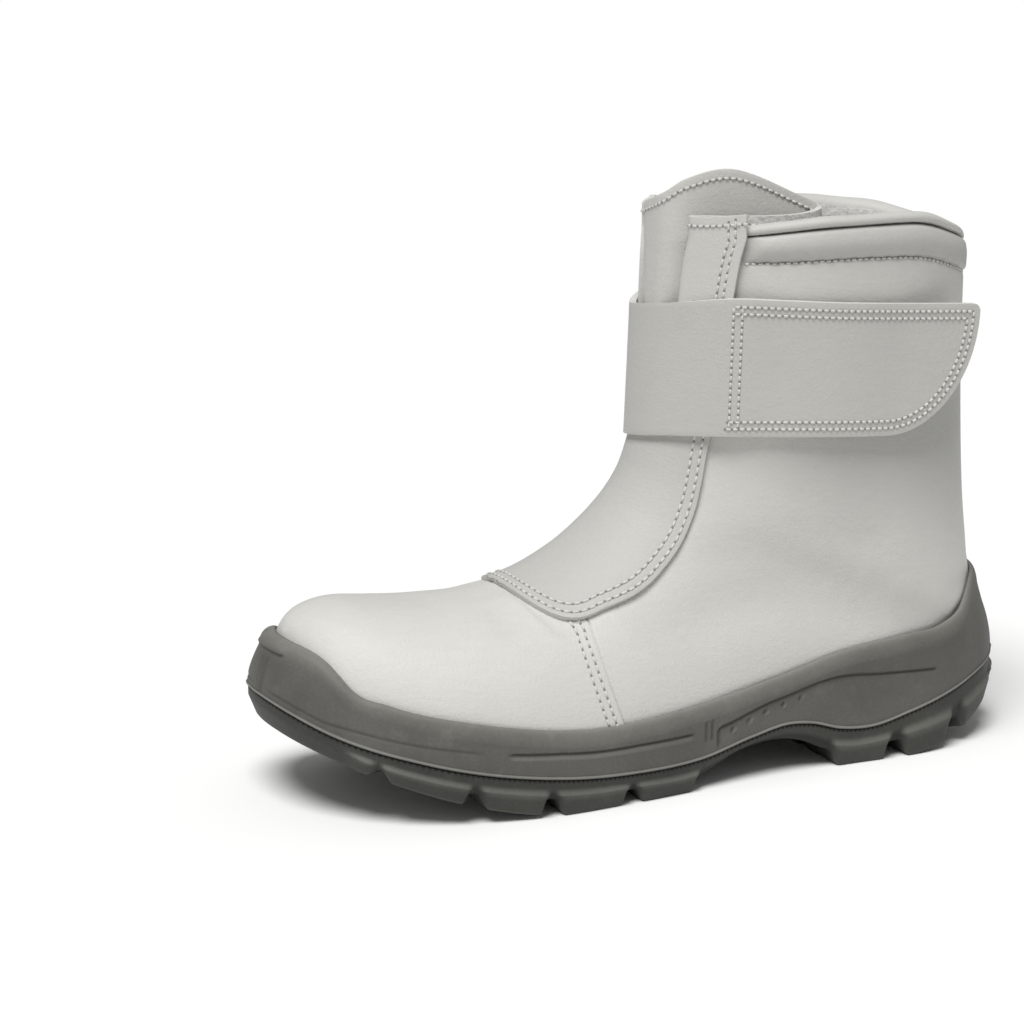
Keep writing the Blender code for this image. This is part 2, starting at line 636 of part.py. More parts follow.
PANEL_ROW_RUNS = (
    (PANEL_TIP + 0.0002, 6.51, 1), (6.51, 6.62, 2), (6.62, 7.0, 2), (7.0, 13.0, 7), (13.0, 19.0, 9),
)
PANEL_SHARES = (*FOLDS.places, 0.94, 1.0)
HEM_ROWS = (0.5, 1.0)


def panel_middle(section, share, side, hem):
    """Middle of the front panel's sheet: flat over the wall, blended into the bellows above the instep."""
    half = panel_half_width(section)
    sewn = half - PANEL_SEWN_MARGIN * min(1.0, half / PANEL_NARROW_HALF)
    lift = PANEL_SEAT_GAP + 0.5 * PANEL_THICKNESS

    def over_wall(distance):
        around = around_at(section, distance, side)
        return upper_point(section, around, side) + lift * upper_normal(section, around, side)

    place = over_wall(np.interp(share, (0, PANEL_SEWN_SHARE, 1), (0, sewn, half)))
    fold = float(smooth_step(FOLD_START, FOLD_FULL, section))
    if share < PANEL_SEWN_SHARE:
        seam = over_wall(sewn)
        seam_x, seam_y = FOLDS.columns["x"][-1], FOLDS.columns["half_y"][-1]
        shift = (seam[0] - seam_x) * share / PANEL_SEWN_SHARE
        plan = np.array((FOLDS.at("x", share) + shift, FOLDS.at("half_y", share) * seam[1] / seam_y))
        place[:2] += fold * (plan - place[:2])
    lift_name = "lateral_lift" if side == LATERAL else "medial_lift"
    place[2] += hem * (HEM_HEIGHT + fold * FOLDS.at(lift_name, share))
    return place


def make_front_panel(material, parent):
    rows = [(section, 0.0) for section in row_places(PANEL_ROW_RUNS)]
    rows += [(float(COLLAR_SECTION), hem) for hem in HEM_ROWS]
    middle = []
    for section, hem in rows:
        lateral = [panel_middle(section, share, LATERAL, hem) for share in PANEL_SHARES]
        medial = [panel_middle(section, share, MEDIAL, hem) for share in PANEL_SHARES]
        middle.append(lateral[::-1] + medial[1:])
    middle = np.array(middle)
    normal = np.cross(np.gradient(middle, axis=1), np.gradient(middle, axis=0))
    normal *= 0.5 * PANEL_THICKNESS / np.linalg.norm(normal, axis=-1, keepdims=True)
    shape = Shape()
    shape.shell(middle + normal, middle - normal)
    return shape.build("front_panel", material, parent)


# Collar lining

LINING_SECTION = Table("out up", (
    (0.6, 0.35), (1.2, 1.2), (0.6, 3.0), (-2.4, 4.2), (-6.0, 3.2), (-7.9, 0.6), (-8.2, -8.0), (-6.6, -18.0),
    (-4.6, -24.0), (-WALL - SEAT_GAP, -24.0), (-WALL - SEAT_GAP, -10.0), (-WALL - SEAT_GAP, 0.35),
    (0.6, 0.35),
))
LINING_FIRST_COLUMN = 1
LINING_CORNER = 11


def make_collar_lining(material, parent):
    """Padded roll over the top edge, turned down inside, from one end of the front panel to the other."""
    halves = []
    for side in (LATERAL, MEDIAL):
        loops = []
        for around in upper_columns(COLLAR_SECTION, side)[LINING_FIRST_COLUMN:]:
            edge = upper_point(float(COLLAR_SECTION), around, side)
            loop = []
            for out, up in zip(LINING_SECTION.columns["out"], LINING_SECTION.columns["up"]):
                section = section_at_height(around, edge[2] + min(up, 0.0), side)
                normal = upper_normal(section, around, side) * (1, 1, 0)
                base = upper_point(section, around, side) + (0, 0, max(up, 0.0))
                loop.append(base + normal * out / np.linalg.norm(normal))
            loops.append(loop)
        halves.append(loops)
    loops = halves[0] + halves[1][-2::-1]
    shape = Shape()
    shape.sheet(loops)
    for end in (loops[0], loops[-1]):
        shape.sheet([[end[LINING_CORNER]] * LINING_CORNER, end[:LINING_CORNER]])
    return shape.build("collar_lining", material, parent)


# Strap

STRAP_HEIGHT_SHARES = (0.0, 0.33, 0.67, 1.0)
STRAP_SEWN_GAP, STRAP_FRONT_GAP = 0.5, 4.8
STRAP_SETTLE_RUN = 22.0
STRAP_FRONT_STEPS = 6
STRAP_FREE_STEPS = 10
STRAP_FREE_SWING = -1.0


def strap_path(z):
    """Inner face of the strap in plan at a height, from its sewn medial end to its free lateral end."""
    halves = []
    for side, columns in ((MEDIAL, STRAP_SEWN_COLUMNS), (LATERAL, STRAP_LATERAL_COLUMNS)):
        wall_columns = upper_columns(section_at_height(STRAP_PROBE, z, side), side)
        front_places = np.linspace(0, wall_columns[1], STRAP_FRONT_STEPS)
        places = np.concatenate((front_places, wall_columns[2:columns + 1]))
        half = []
        for around in places:
            section = section_at_height(around, z, side)
            normal = upper_normal(section, around, side) * (1, 1, 0)
            beyond = wall_distance(section, around, side) - panel_half_width(section)
            front = 1 - smooth_step(0, STRAP_SETTLE_RUN, beyond)
            gap = STRAP_SEWN_GAP + (STRAP_FRONT_GAP - STRAP_SEWN_GAP) * front
            half.append((upper_point(section, around, side) + gap * normal / np.linalg.norm(normal))[:2])
        halves.append(half)
    free = halves[1][-1] + np.linspace((0, 0), (STRAP_FREE_LENGTH, STRAP_FREE_SWING), STRAP_FREE_STEPS)[1:]
    return np.array(halves[0][:0:-1] + halves[1] + list(free)), len(halves[0]) - 1


def make_strap(material, parent):
    low_path, front_column = strap_path(STRAP_LOW_CUT)
    high_path, front_column = strap_path(STRAP_HIGH_CUT)
    runs = np.concatenate(([0.0], np.cumsum(np.linalg.norm(np.diff(low_path, axis=0), axis=1))))
    inner = []
    for column in range(len(runs)):
        from_front = runs[column] - runs[front_column]
        past = np.clip((runs[column] - runs[-1] + STRAP_CORNER_LENGTH) / STRAP_CORNER_LENGTH, 0, 1)
        corner = STRAP_CORNER_HEIGHT * (1 - np.sqrt(1 - past ** 2))
        bottom = STRAP_EDGES.at("bottom", from_front) + corner
        top = STRAP_EDGES.at("top", from_front)
        line = []
        for share in STRAP_HEIGHT_SHARES:
            z = bottom + share * (top - bottom)
            part = (z - STRAP_LOW_CUT) / (STRAP_HIGH_CUT - STRAP_LOW_CUT)
            line.append((*(low_path[column] + part * (high_path[column] - low_path[column])), z))
        inner.append(line)
    inner = np.array(inner)
    normal = np.cross(np.gradient(inner, axis=0), np.gradient(inner, axis=1))
    normal *= STRAP_THICKNESS / np.linalg.norm(normal, axis=-1, keepdims=True)
    shape = Shape()
    shape.shell(inner + normal, inner)
    return shape.build("strap", material, parent)


def main():
    for leftover in list(bpy.data.objects):
        bpy.data.objects.remove(leftover, do_unlink=True)
    frame = bpy.data.objects.new("boot_frame", None)
    bpy.context.collection.objects.link(frame)
    outer_tree, inner_tree = surface_tree(0), surface_tree(1)
    pieces = [
        make_outsole(outer_tree, make_material("outsole_polyurethane", (72, 73, 68), 0.7), frame),
        make_midsole(outer_tree, make_material("midsole_polyurethane", (98, 97, 92), 0.65), frame),
        make_insole(outer_tree, inner_tree, make_material("insole_felt", (190, 188, 180), 0.95), frame),
        make_upper(make_material("upper_microfibre", (212, 211, 207), 0.5), frame),
        make_front_panel(make_material("panel_microfibre", (206, 205, 201), 0.5), frame),
        make_collar_lining(make_material("collar_fleece", (214, 213, 209), 0.9), frame),
        make_strap(make_material("strap_microfibre", (196, 195, 191), 0.5), frame),
    ]
    corners = np.array([vertex.co for piece in pieces for vertex in piece.data.vertices])
    middle = 0.5 * (corners.min(axis=0) + corners.max(axis=0))
    frame.location = (-middle[0], -middle[1], -corners[:, 2].min())


main()
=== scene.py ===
"""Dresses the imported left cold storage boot: microfibre upper, bellows front, strap, collar, sole.

Lengths are in millimetres in the boot's own frame until the meshes are made: the toe points to -X, the outer
(lateral) side of the foot to -Y, and the floor is z = 0.
"""

import bmesh
import bpy
import numpy as np
from mathutils import Matrix, Vector
from mathutils.bvhtree import BVHTree


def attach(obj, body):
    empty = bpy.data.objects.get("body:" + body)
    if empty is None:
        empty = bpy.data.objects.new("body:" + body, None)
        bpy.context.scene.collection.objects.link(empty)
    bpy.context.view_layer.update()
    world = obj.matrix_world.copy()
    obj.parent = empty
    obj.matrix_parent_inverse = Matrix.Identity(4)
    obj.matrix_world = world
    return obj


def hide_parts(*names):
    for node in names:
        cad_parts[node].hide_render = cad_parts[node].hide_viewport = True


bl_info = {
    "name": "Cold storage boot",
    "version": (1, 0, 0),
    "blender": (4, 5, 0),
    "location": "View3D > Sidebar > Boot",
    "description": "Dresses a left cold storage boot around its packed solids",
    "category": "Object",
}

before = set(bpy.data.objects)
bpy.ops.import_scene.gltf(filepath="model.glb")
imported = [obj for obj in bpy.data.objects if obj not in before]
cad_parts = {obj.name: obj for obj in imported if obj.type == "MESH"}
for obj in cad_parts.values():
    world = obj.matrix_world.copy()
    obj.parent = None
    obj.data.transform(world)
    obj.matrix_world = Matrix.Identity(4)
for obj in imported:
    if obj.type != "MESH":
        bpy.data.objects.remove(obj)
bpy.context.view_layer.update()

# Sizes
MM = 0.001
FRAME_SHIFT = (3.3916, 2.0829, 0.0)  # from the boot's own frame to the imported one
LAST_LENGTH = 287.0
BALL_WIDTH = 93.0
TOE_X = -149.0
LATERAL, MEDIAL = -1, 1
WELD = 0.004
RAY_NUDGE = 0.01

# Upper sizes
COLLAR_RISE = 8.0
SEAM_SECTION, SEAM_BOW = 7.1, 1.9
SEAM_BOW_TOP, SEAM_BOW_END = 0.42, 0.8
SEAM_STEP, SEAM_STEP_START, SEAM_STEP_BLEND = 0.9, 4.0, (6.0, 16.0)
SEAM_SPREAD_END = 9.5
TUCK_START, TUCK_DEPTH, TUCK_RAMP = 6.6, 0.9, (-0.01, 0.07)
VAMP_THICKNESS, QUARTER_THICKNESS = 1.4, 2.8
VAMP_ROUND, QUARTER_ROUND = 0.35, 0.4
BAND_BULGE, BAND_BACK_BULGE, BAND_ARC, BAND_BLEND = 2.2, 0.8, (0.06, 0.97), (0.5, 8.0)
BAND_START, BAND_END = 18.05, 19.0
BAND_LIFT, BAND_LIFT_RUN = 0.21, (0.3, 0.66)
BAND_GROOVE_DEPTH, BAND_GROOVE_WIDTH = 0.8, 0.05
COLLAR_SEAM_DEPTH, COLLAR_SEAM_WIDTH = 1.3, 0.07
PUCKER_DEPTH, PUCKER_PITCH, PUCKER_PLACE, PUCKER_REACH = 0.3, 7.0, 0.12, 0.22
PUCKER_DRIFT, PUCKER_DRIFT_RUN = 0.8, 11.0
BAND_BULGE_FADE, BAND_EDGE, BAND_SHADE_EDGE = (0.5, 0.95), 0.08, 0.06
BAND_SHADE, BAND_SEAM_SHADE, COLLAR_SEAM_SHADE_WIDTH, CREASE_SHADE = 0.28, 0.2, 0.045, 0.08
# Painted shade on the quarter under the strap: strength, heights where it rises and fades, and where round
# the back it grows
STRAP_SHADE, STRAP_SHADE_RISE, STRAP_SHADE_TOP, STRAP_SHADE_BACK = 0.30, (64.0, 128.0), (150.0, 176.0), (0.15, 0.5)
THROAT_START, THROAT_FULL = 7.8, 8.6
PANEL_OVERLAP = 9.0
UPPER_COLUMNS = 11
SEAM_STITCH_INSETS, SEAM_STITCH_RUN = (2.7, 5.8), (0.33, 0.97)
BAND_STITCH_START, BAND_STITCH_DROP = 1.0, 0.02

# Front panel sizes
PANEL_THICKNESS, PANEL_ROUND = 2.2, 0.4
PANEL_TIP, PANEL_TIP_GAP, PANEL_SHOULDER = 6.47, 0.0004, 7.7
PANEL_ROUNDNESS = 2.7
PANEL_SEWN_SHARE, PANEL_SEWN_MARGIN = 0.88, 14.0
PANEL_SEAT_GAP = 0.2
PANEL_WELT, PANEL_WELT_RUN, PANEL_WELT_RISE = 0.8, (3.0, 1.4), (15.5, 17.0)
PANEL_NARROW_HALF = 30.0
PANEL_SHADE, PANEL_SHADE_END = 0.19, (120.0, 170.0)
FOLD_START, FOLD_FULL = 13.6, 17.0
MEDIAL_FOLD_BACK, MEDIAL_FOLD_SHARE, MEDIAL_FOLD_WIDTH = 5.0, 0.79, 0.08
HEM_HEIGHT, HEM_SLOPE = 8.5, -22.0
HEM_STITCH_DROP, HEM_STITCH_ROWS, HEM_NORMAL_ROW = 3.4, 40, -4
PANEL_STITCH_INSETS, PANEL_STITCH_END = ((2.2, 3.7), (5.5, 6.2)), 18.9
CREST_MM_PER_SECTION = 17.0

# Strap sizes
STRAP_THICKNESS, STRAP_ROUND = 2.6, 0.6
STRAP_SEWN_COLUMNS, STRAP_LATERAL_COLUMNS = 3, 5
STRAP_PROBE = 0.3
STRAP_FREE_LENGTH, STRAP_FREE_SWING = 33.4, -1.0
STRAP_LOW_CUT, STRAP_HIGH_CUT = 131.0, 172.0
STRAP_CORNER_LENGTH, STRAP_CORNER_HEIGHT = 36.0, 44.0
STRAP_TIP_LENGTH, STRAP_TIP_HEIGHT = 3.0, 3.0
STRAP_SEWN_GAP, STRAP_FRONT_GAP, STRAP_SETTLE_RUN = 0.5, 2.9, 22.0
STRAP_STAND_OFF, STRAP_STAND_START = 1.8, 0.4
STRAP_STITCH_INSETS, STRAP_STITCH_SLACK, STRAP_STITCH_END = (2.9, 5.5), 0.15, 0.9
STRAP_FRONT_STITCHES, STRAP_FRONT_STITCH_INSET = (107.6, 110.6), 2.9
STRAP_BOX, STRAP_BOX_INSET = (2.5, 22.5), 3.0
STRAP_HALF_PATH, STRAP_END_CLEAR, STRAP_LINE_STEP = 40, 0.7, 1.5

# Sole sizes
CUP_GAP = 0.4
EDGE_GUESS_RADIUS, EDGE_GUESS_LIFT, EDGE_LIFT = 50.0, 8.0, 1.5
FAN_TOE_X, FAN_HEEL_X = -98.0, 98.0
FAN_MM_PER_DEGREE = 0.8
SPINE_SWING = 5.0
SOLE_END = FAN_HEEL_X + 90.0 * FAN_MM_PER_DEGREE
RIB_OUT, RIB_TALL = 0.5, 1.7
STEP_OVER_RIB, STEP_UNDER_LIP = 1.8, 2.2
PARTING_GAP = 0.15
LUG_DRAFT, LUG_DEPTH_IN, LUG_PROUD = 3.0, 24.0, 1.3
CENTRE_LUG_HALF = 13.0
CENTRE_LUG_CLEAR = 6.0
LUG_LEDGE_SPREAD, LEDGE_HEIGHT = 1.6, 0.28
OUTSOLE_INSET, GAP_LEDGE, GAP_SLOPE, LUG_SLOPE = 0.3, -0.8, 2.4, 0.5
TOE_PIECE_BLEND, TOE_PIECE_SLOPE = (-136.0, -128.0), 3.2
INSOLE_THICKNESS, INSOLE_EDGE_GAP, INSOLE_LIFT, INSOLE_ROUND = 4.0, 2.0, 0.8, 0.6
FLOOR_DROP = 0.9
WEB_THICKNESS, LUG_LEAST_DEPTH = 2.5, 1.0

# Stitch sizes: half width and height of a thread, half sizes of the dark disc painted as a needle hole's
# shade, and how far each stands out
THREAD_SHARE, THREAD_SIZE, THREAD_LIFT = 0.42, (0.56, 0.52), 0.1
HOLE_SIZE, HOLE_LIFT = (0.55, 0.5, 0.22), 0.05


class Table:
    """Rows of named columns, read at any place along the first column through a smooth curve."""

    def __init__(self, names, rows):
        self.columns = dict(zip(names.split(), np.array(rows, float).T))
        self.places = self.columns[names.split()[0]]

    def at(self, name, where, start_slope=None):
        xs, ys = self.places, self.columns[name]
        slopes = np.gradient(ys, xs)
        if start_slope is not None:
            slopes[0] = start_slope
        where = np.clip(where, xs[0], xs[-1])
        row = np.clip(np.searchsorted(xs, where, side="right") - 1, 0, len(xs) - 2)
        step = xs[row + 1] - xs[row]
        part = (where - xs[row]) / step
        rest = 1.0 - part
        return (ys[row] * (1 + 2 * part) * rest ** 2 + slopes[row] * step * part * rest ** 2
                + ys[row + 1] * (3 - 2 * part) * part ** 2 - slopes[row + 1] * step * rest * part ** 2)


# Sections of the last, fanned from the toe round the heel to the collar. Front is the crest of the foot or
# the front of the shaft, back is the lasting edge or the back seam. Along is in percent of the last's length,
# up in percent of the shaft's height, half widths in percent of the ball's width, close in degrees, swing in
# millimetres.
SECTIONS = Table("section front_along front_up back_along back_up lateral medial widest close swing square", (
    (0, 1.7, 31.2, 0.0, 21.5, 0.0, 0.0, 95, 8, 9.0, 2.3),
    (1, 2.8, 33.5, 0.9, 21.0, 18.3, 16.1, 95, 8, 9.0, 2.3),
    (2, 5.2, 35.6, 3.1, 19.8, 31.2, 27.4, 95, 8, 8.5, 2.3),
    (3, 9.1, 36.6, 6.6, 18.0, 40.9, 34.4, 94, 10, 8.0, 2.3),
    (4, 14.3, 36.1, 12.2, 15.2, 49.5, 39.8, 93, 12, 6.5, 2.3),
    (5, 20.6, 35.5, 19.9, 12.8, 55.4, 43.0, 92, 14, 5.0, 2.3),
    (6, 27.5, 35.9, 30.3, 10.5, 57.0, 43.0, 90, 15, 3.5, 2.3),
    (7, 33.4, 37.8, 40.4, 9.5, 54.8, 38.7, 86, 17, 2.5, 2.2),
    (8, 39.0, 42.0, 49.8, 9.5, 51.1, 34.9, 80, 18, 1.5, 2.2),
    (9, 43.2, 46.5, 61.0, 11.2, 46.8, 34.9, 74, 20, 1.0, 2.2),
    (10, 46.7, 51.2, 73.5, 13.0, 45.2, 39.2, 68, 22, 0.5, 2.2),
    (11, 49.0, 55.8, 86.8, 14.8, 45.7, 43.0, 62, 32, 0.0, 2.2),
    (12, 50.3, 60.0, 95.1, 15.8, 46.8, 45.2, 57, 57, 0.0, 2.2),
    (13, 51.2, 64.0, 99.0, 16.8, 47.8, 46.8, 54, 78, 0.0, 2.2),
    (14, 51.9, 68.0, 100.0, 19.0, 48.4, 47.8, 52, 90, 0.0, 2.2),
    (15, 52.3, 73.0, 99.1, 29.0, 49.5, 48.9, 51, 90, 0.0, 2.2),
    (16, 52.5, 80.0, 97.4, 49.0, 50.5, 50.0, 50, 90, 0.0, 2.2),
    (17, 52.7, 88.0, 96.5, 71.0, 51.1, 50.5, 50, 90, 0.0, 2.2),
    (18, 52.9, 96.0, 96.3, 88.5, 51.6, 51.1, 50, 90, 0.0, 2.2),
    (19, 53.0, 100.0, 96.3, 98.0, 52.2, 51.6, 50, 90, 0.0, 2.2),
))
SHAFT_SECTION, CLOSED_SECTION, COLLAR_SECTION = 9, 14, 19
LEVEL_SHARES = (0.0, 15.0, 42.0, 100.0)
LEVEL_HEIGHTS = (0.0, 30.0, 84.0, 200.0)

# Half width of the front panel, measured over the wall from the crest
PANEL_EDGE = Table("section half_width", (
    (7.7, 38.5), (8.6, 40.0), (9.6, 38.0), (11.0, 33.8), (12.5, 31.8), (14.0, 31.4), (17.4, 37.6),
    (19.0, 41.5),
))

# The bellows in plan at the hem: share of the half panel from centre to seam, place, and lift of the hem
FOLDS = Table("share x half_y lift", (
    (0.00, 0.6, 0.0, 6.0),
    (0.10, 1.6, 7.5, 9.0),
    (0.20, 7.2, 12.3, 13.8),
    (0.32, 24.0, 17.5, 17.0),
    (0.44, 46.0, 22.6, 8.0),
    (0.50, 55.0, 25.8, 3.0),
    (0.56, 47.0, 28.9, 1.0),
    (0.66, 24.0, 23.6, 0.0),
    (0.74, 10.5, 18.0, 0.0),
    (0.77, 6.8, 17.4, 0.0),
    (0.80, 5.4, 19.6, 0.0),
    (0.84, 7.0, 22.8, 0.0),
    (0.88, 9.2, 25.6, 0.0),
))
MEDIAL_LIFT = Table("share lift", (
    (0.00, 6.0), (0.10, 3.6), (0.20, 1.6), (0.32, 1.0), (0.44, 0.8), (0.50, 0.6), (0.56, 0.3),
    (0.66, 0.0), (0.88, 0.0),
))

# Heights of the strap's edges by run along it from the front of the shaft, positive to the lateral side
STRAP_EDGES = Table("run bottom top", (
    (-75, 126.0, 176.0), (-40, 125.5, 175.0), (-20, 124.0, 173.2), (0, 126.0, 175.4), (20, 128.8, 178.5),
    (40, 129.9, 181.0), (60, 130.0, 180.3), (80, 129.5, 179.0), (100, 128.6, 177.7), (137, 127.5, 175.7),
))

# Rise and fall of the collar's edge: side, around, width as a share of around, height in millimetres
COLLAR_WAVES = ((LATERAL, 0.61, 0.09, 1.9), (LATERAL, 0.88, 0.08, -2.0), (MEDIAL, 0.80, 0.13, 3.2))
COLLAR_WAVE_RISE, COLLAR_WAVE_END = (17.3, 19.0), (0.92, 1.0)

# A crease's trough, and the ridge on either side of it by height, place and width, as shares of its own sizes
CREASE_TROUGH_WIDTH, CREASE_RIDGE, CREASE_RIDGE_PLACE, CREASE_RIDGE_WIDTH = 0.75, 0.45, 1.7, 0.8
CREASE_STEPS, CREASE_ENDS, CREASE_FADE = 24, (0.04, 0.96), 0.6

# Creases of the upper: side, start and end as section and around, width and depth in millimetres
CREASES = (
    (LATERAL, 5.7, 0.12, 6.0, 0.44, 9.0, 0.5),
    (LATERAL, 8.4, 0.56, 13.6, 0.74, 13.0, 1.5),
    (LATERAL, 9.8, 0.46, 12.6, 0.58, 8.0, 0.7),
    (LATERAL, 12.4, 0.40, 14.6, 0.52, 7.0, 0.6),
    (LATERAL, 13.6, 0.70, 14.7, 0.86, 6.0, 0.7),
    (LATERAL, 14.4, 0.68, 15.3, 0.84, 5.0, 0.5),
    (MEDIAL, 5.6, 0.12, 5.9, 0.44, 9.0, 0.5),
    (MEDIAL, 8.4, 0.56, 13.6, 0.74, 13.0, 1.4),
    (MEDIAL, 10.0, 0.45, 12.4, 0.58, 8.0, 0.7),
    (MEDIAL, 13.6, 0.70, 14.7, 0.86, 6.0, 0.7),
)

# Along the boot: heights of the cup's rim, the parting line and the outsole between its lugs, and the flare
RIM = Table("x z", (
    (-146, 62.0), (-137, 57.5), (-130, 47.6), (-120, 43.3), (-90, 35.8), (-45, 29.6), (0, 32.2), (35, 38.6),
    (60, 45.0), (88, 48.0), (107, 50.2), (115, 54.5), (122, 63.0), (138, 67.5),
))
PARTING = Table("x z", (
    (-155, 41.0), (-140, 33.0), (-112, 23.7), (-65, 14.2), (-30, 11.3), (0, 12.2), (22, 16.8), (38, 19.4),
    (48, 18.3), (60, 14.8), (74, 13.8), (92, 17.8), (111, 22.9), (132, 28.0), (148, 31.0),
))
TREAD_BASE = Table("x z", (
    (-155, 36.0), (-124, 20.5), (-94, 11.4), (-64, 6.2), (-31, 4.8), (-2, 5.2), (17, 12.0), (31, 13.8),
    (44, 11.8), (55, 7.0), (84, 6.2), (115, 10.5), (135, 17.0), (148, 23.0),
))
FLARE = Table("x out", ((-155, 6.5), (-50, 5.5), (30, 4.5), (80, 5.0), (120, 8.0), (148, 11.5)))

# Height of the step on the sole's side above the floor, by place round the sole
SIDE_STEP = Table("place z", (
    (-170, 46.0), (-140, 37.5), (-105, 29.0), (-80, 25.0), (-45, 22.5), (-8, 22.3), (8, 23.4), (25, 28.5),
    (42, 33.0), (58, 36.0), (78, 35.0), (110, 33.5), (170, 39.0),
))

# First and last place round the sole of each lug: the toe's, four at the ball, three at the heel and its back
LUGS = (
    (-SOLE_END - 10.0, -127.5), (-120.0, -98.0), (-89.0, -69.0), (-60.0, -36.0), (-27.0, -5.5),
    (60.0, 80.0), (91.0, 110.0), (123.0, 143.0), (152.0, SOLE_END + 10.0),
)
TOE_SPRING_X, TOE_SPRING_END, TOE_SPRING, TOE_SPRING_POWER = -58.0, -145.0, 26.0, 1.5
HEEL_BEVEL_X, HEEL_BEVEL_END, HEEL_BEVEL, HEEL_BEVEL_POWER = 92.0, 147.0, 18.0, 1.6


def smooth_step(low, high, value):
    part = np.clip((np.asarray(value, float) - low) / (high - low), 0.0, 1.0)
    return part * part * (3.0 - 2.0 * part)


def bell(value, width):
    return np.exp(-(np.asarray(value, float) / width) ** 2)


def blend(first, second, share):
    return first + (second - first) * share


def window(rise, fall, value):
    """1 between a rise and a fall, 0 outside them."""
    return smooth_step(*rise, value) * (1 - smooth_step(*fall, value))


def unit(vectors):
    return vectors / np.maximum(np.linalg.norm(vectors, axis=-1, keepdims=True), 1e-9)


def run_along(points):
    """Distance of each point of a line from its first."""
    return np.concatenate(([0.0], np.cumsum(np.linalg.norm(np.diff(points, axis=0), axis=1))))


def spaced(*parts):
    """Even steps over each part, given as first, last and count."""
    return np.unique(np.concatenate([np.linspace(*part) for part in parts]))


def paired(first, second):
    """Two values or arrays brought to one shape."""
    return np.broadcast_arrays(np.asarray(first, float), np.asarray(second, float))


def height(share):
    """Height of a share of the shaft's height in percent."""
    return np.interp(share, LEVEL_SHARES, LEVEL_HEIGHTS)


# The upper's own surface

def section_value(name, section):
    """A column of the sections; half widths grow evenly out of the toe tip, all else starts level there."""
    start = SECTIONS.columns[name][1] if name in ("lateral", "medial") else 0.0
    return SECTIONS.at(name, section, start)


def upper_point(section, around, side):
    """Outer surface of the upper. Around runs from the crest or front (0) to the lasting edge or back (1)."""
    section, around = paired(section, around)
    half = section_value("lateral" if side == LATERAL else "medial", section) * BALL_WIDTH / 100
    widest = section_value("widest", section) / 100
    close = np.radians(np.clip(section_value("close", section), 1, 90))
    power = 2 / section_value("square", section)
    turn = around * (np.pi / 2 + close)
    front = np.minimum(turn, np.pi / 2)
    behind = np.maximum(turn - np.pi / 2, 0.0)
    before = turn < np.pi / 2
    out = half * np.where(before, np.sin(front), np.clip(np.cos(behind), 0, 1)) ** power
    share = np.where(before, widest * (1 - np.clip(np.cos(front), 0, 1) ** power),
                     widest + (1 - widest) * (np.sin(behind) / np.sin(close)) ** power)
    front_x = TOE_X + section_value("front_along", section) * LAST_LENGTH / 100
    back_x = TOE_X + section_value("back_along", section) * LAST_LENGTH / 100
    front_z = height(section_value("front_up", section))
    back_z = height(section_value("back_up", section))
    rise = COLLAR_RISE * np.clip((section - CLOSED_SECTION) / (COLLAR_SECTION - CLOSED_SECTION), 0, 1)
    x = front_x + (back_x - front_x) * share
    y = section_value("swing", section) + side * out
    z = front_z + (back_z - front_z) * share + rise * np.sin(np.pi * np.clip(share, 0, 1))
    rim = smooth_step(*COLLAR_WAVE_RISE, section) * (1 - smooth_step(*COLLAR_WAVE_END, around))
    for wave_side, place, width, lift in COLLAR_WAVES:
        if wave_side == side:
            z = z + lift * rim * bell(around - place, width)
    return np.stack((x, y, z), -1)


def upper_normal(section, around, side):
    """Outward unit normal; it lies in the middle plane where the two sides join."""
    section, around = paired(section, around)
    small = 0.004
    along = (upper_point(np.minimum(section + small, COLLAR_SECTION), around, side)
             - upper_point(np.maximum(section - small, 0), around, side))
    across = (upper_point(section, np.minimum(around + small, 1), side)
              - upper_point(section, np.maximum(around - small, 0), side))
    normal = side * np.cross(along, across)
    tip = section == 0
    joined = tip | (around == 0) | ((around == 1) & (section >= CLOSED_SECTION))
    line = np.where(tip[..., None], across, along)
    upright = np.stack((line[..., 2], np.zeros_like(section), -line[..., 0]), -1)
    away = np.where((around == 1) & ~tip, upright[..., 0], upright[..., 2] - upright[..., 0])
    upright *= np.sign(away)[..., None]
    return unit(np.where(joined[..., None], upright, normal))


def around_at(section, distance, side):
    """The around value at a distance over the wall from the crest, on one section."""
    samples = np.linspace(0, 1, 121)
    return np.interp(distance, run_along(upper_point(section, samples, side)), samples)


def wall_distance(section, around, side):
    """Distance over the wall from the crest."""
    section, around = paired(section, around)
    points = upper_point(section[..., None], np.linspace(0, 1, 31) * around[..., None], side)
    return np.linalg.norm(np.diff(points, axis=-2), axis=-1).sum(axis=-1)


def panel_half_width(section, inset=0.0):
    """Half width of the front panel, an oval tab and then the table, or of a line inside its edge."""
    tip = PANEL_TIP + inset / CREST_MM_PER_SECTION
    part = np.clip((PANEL_SHOULDER - section) / (PANEL_SHOULDER - tip), 0, 1)
    tab = (1 - part ** PANEL_ROUNDNESS) ** (1 / PANEL_ROUNDNESS)
    return tab * (PANEL_EDGE.at("half_width", section) - inset)


def throat_half_width(section):
    """Half width of the opening under the front panel, rounded at its lower end."""
    part = np.clip((THROAT_FULL - section) / (THROAT_FULL - THROAT_START), 0, 1)
    return np.sqrt(1 - part ** 2) * (PANEL_EDGE.at("half_width", section) - PANEL_OVERLAP)


def section_at_height(around, z, side):
    """The section that passes a height at an around value on the shaft."""
    around, z = paired(around, z)
    low = np.full(around.shape, float(SHAFT_SECTION))
    high = np.full(around.shape, float(COLLAR_SECTION))
    for _ in range(40):
        middle = 0.5 * (low + high)
        below = upper_point(middle, around, side)[..., 2] < z
        low, high = np.where(below, middle, low), np.where(below, high, middle)
    return middle


def level_normal(section, around, side):
    """The outward normal laid level."""
    return unit(upper_normal(section, around, side) * (1, 1, 0))


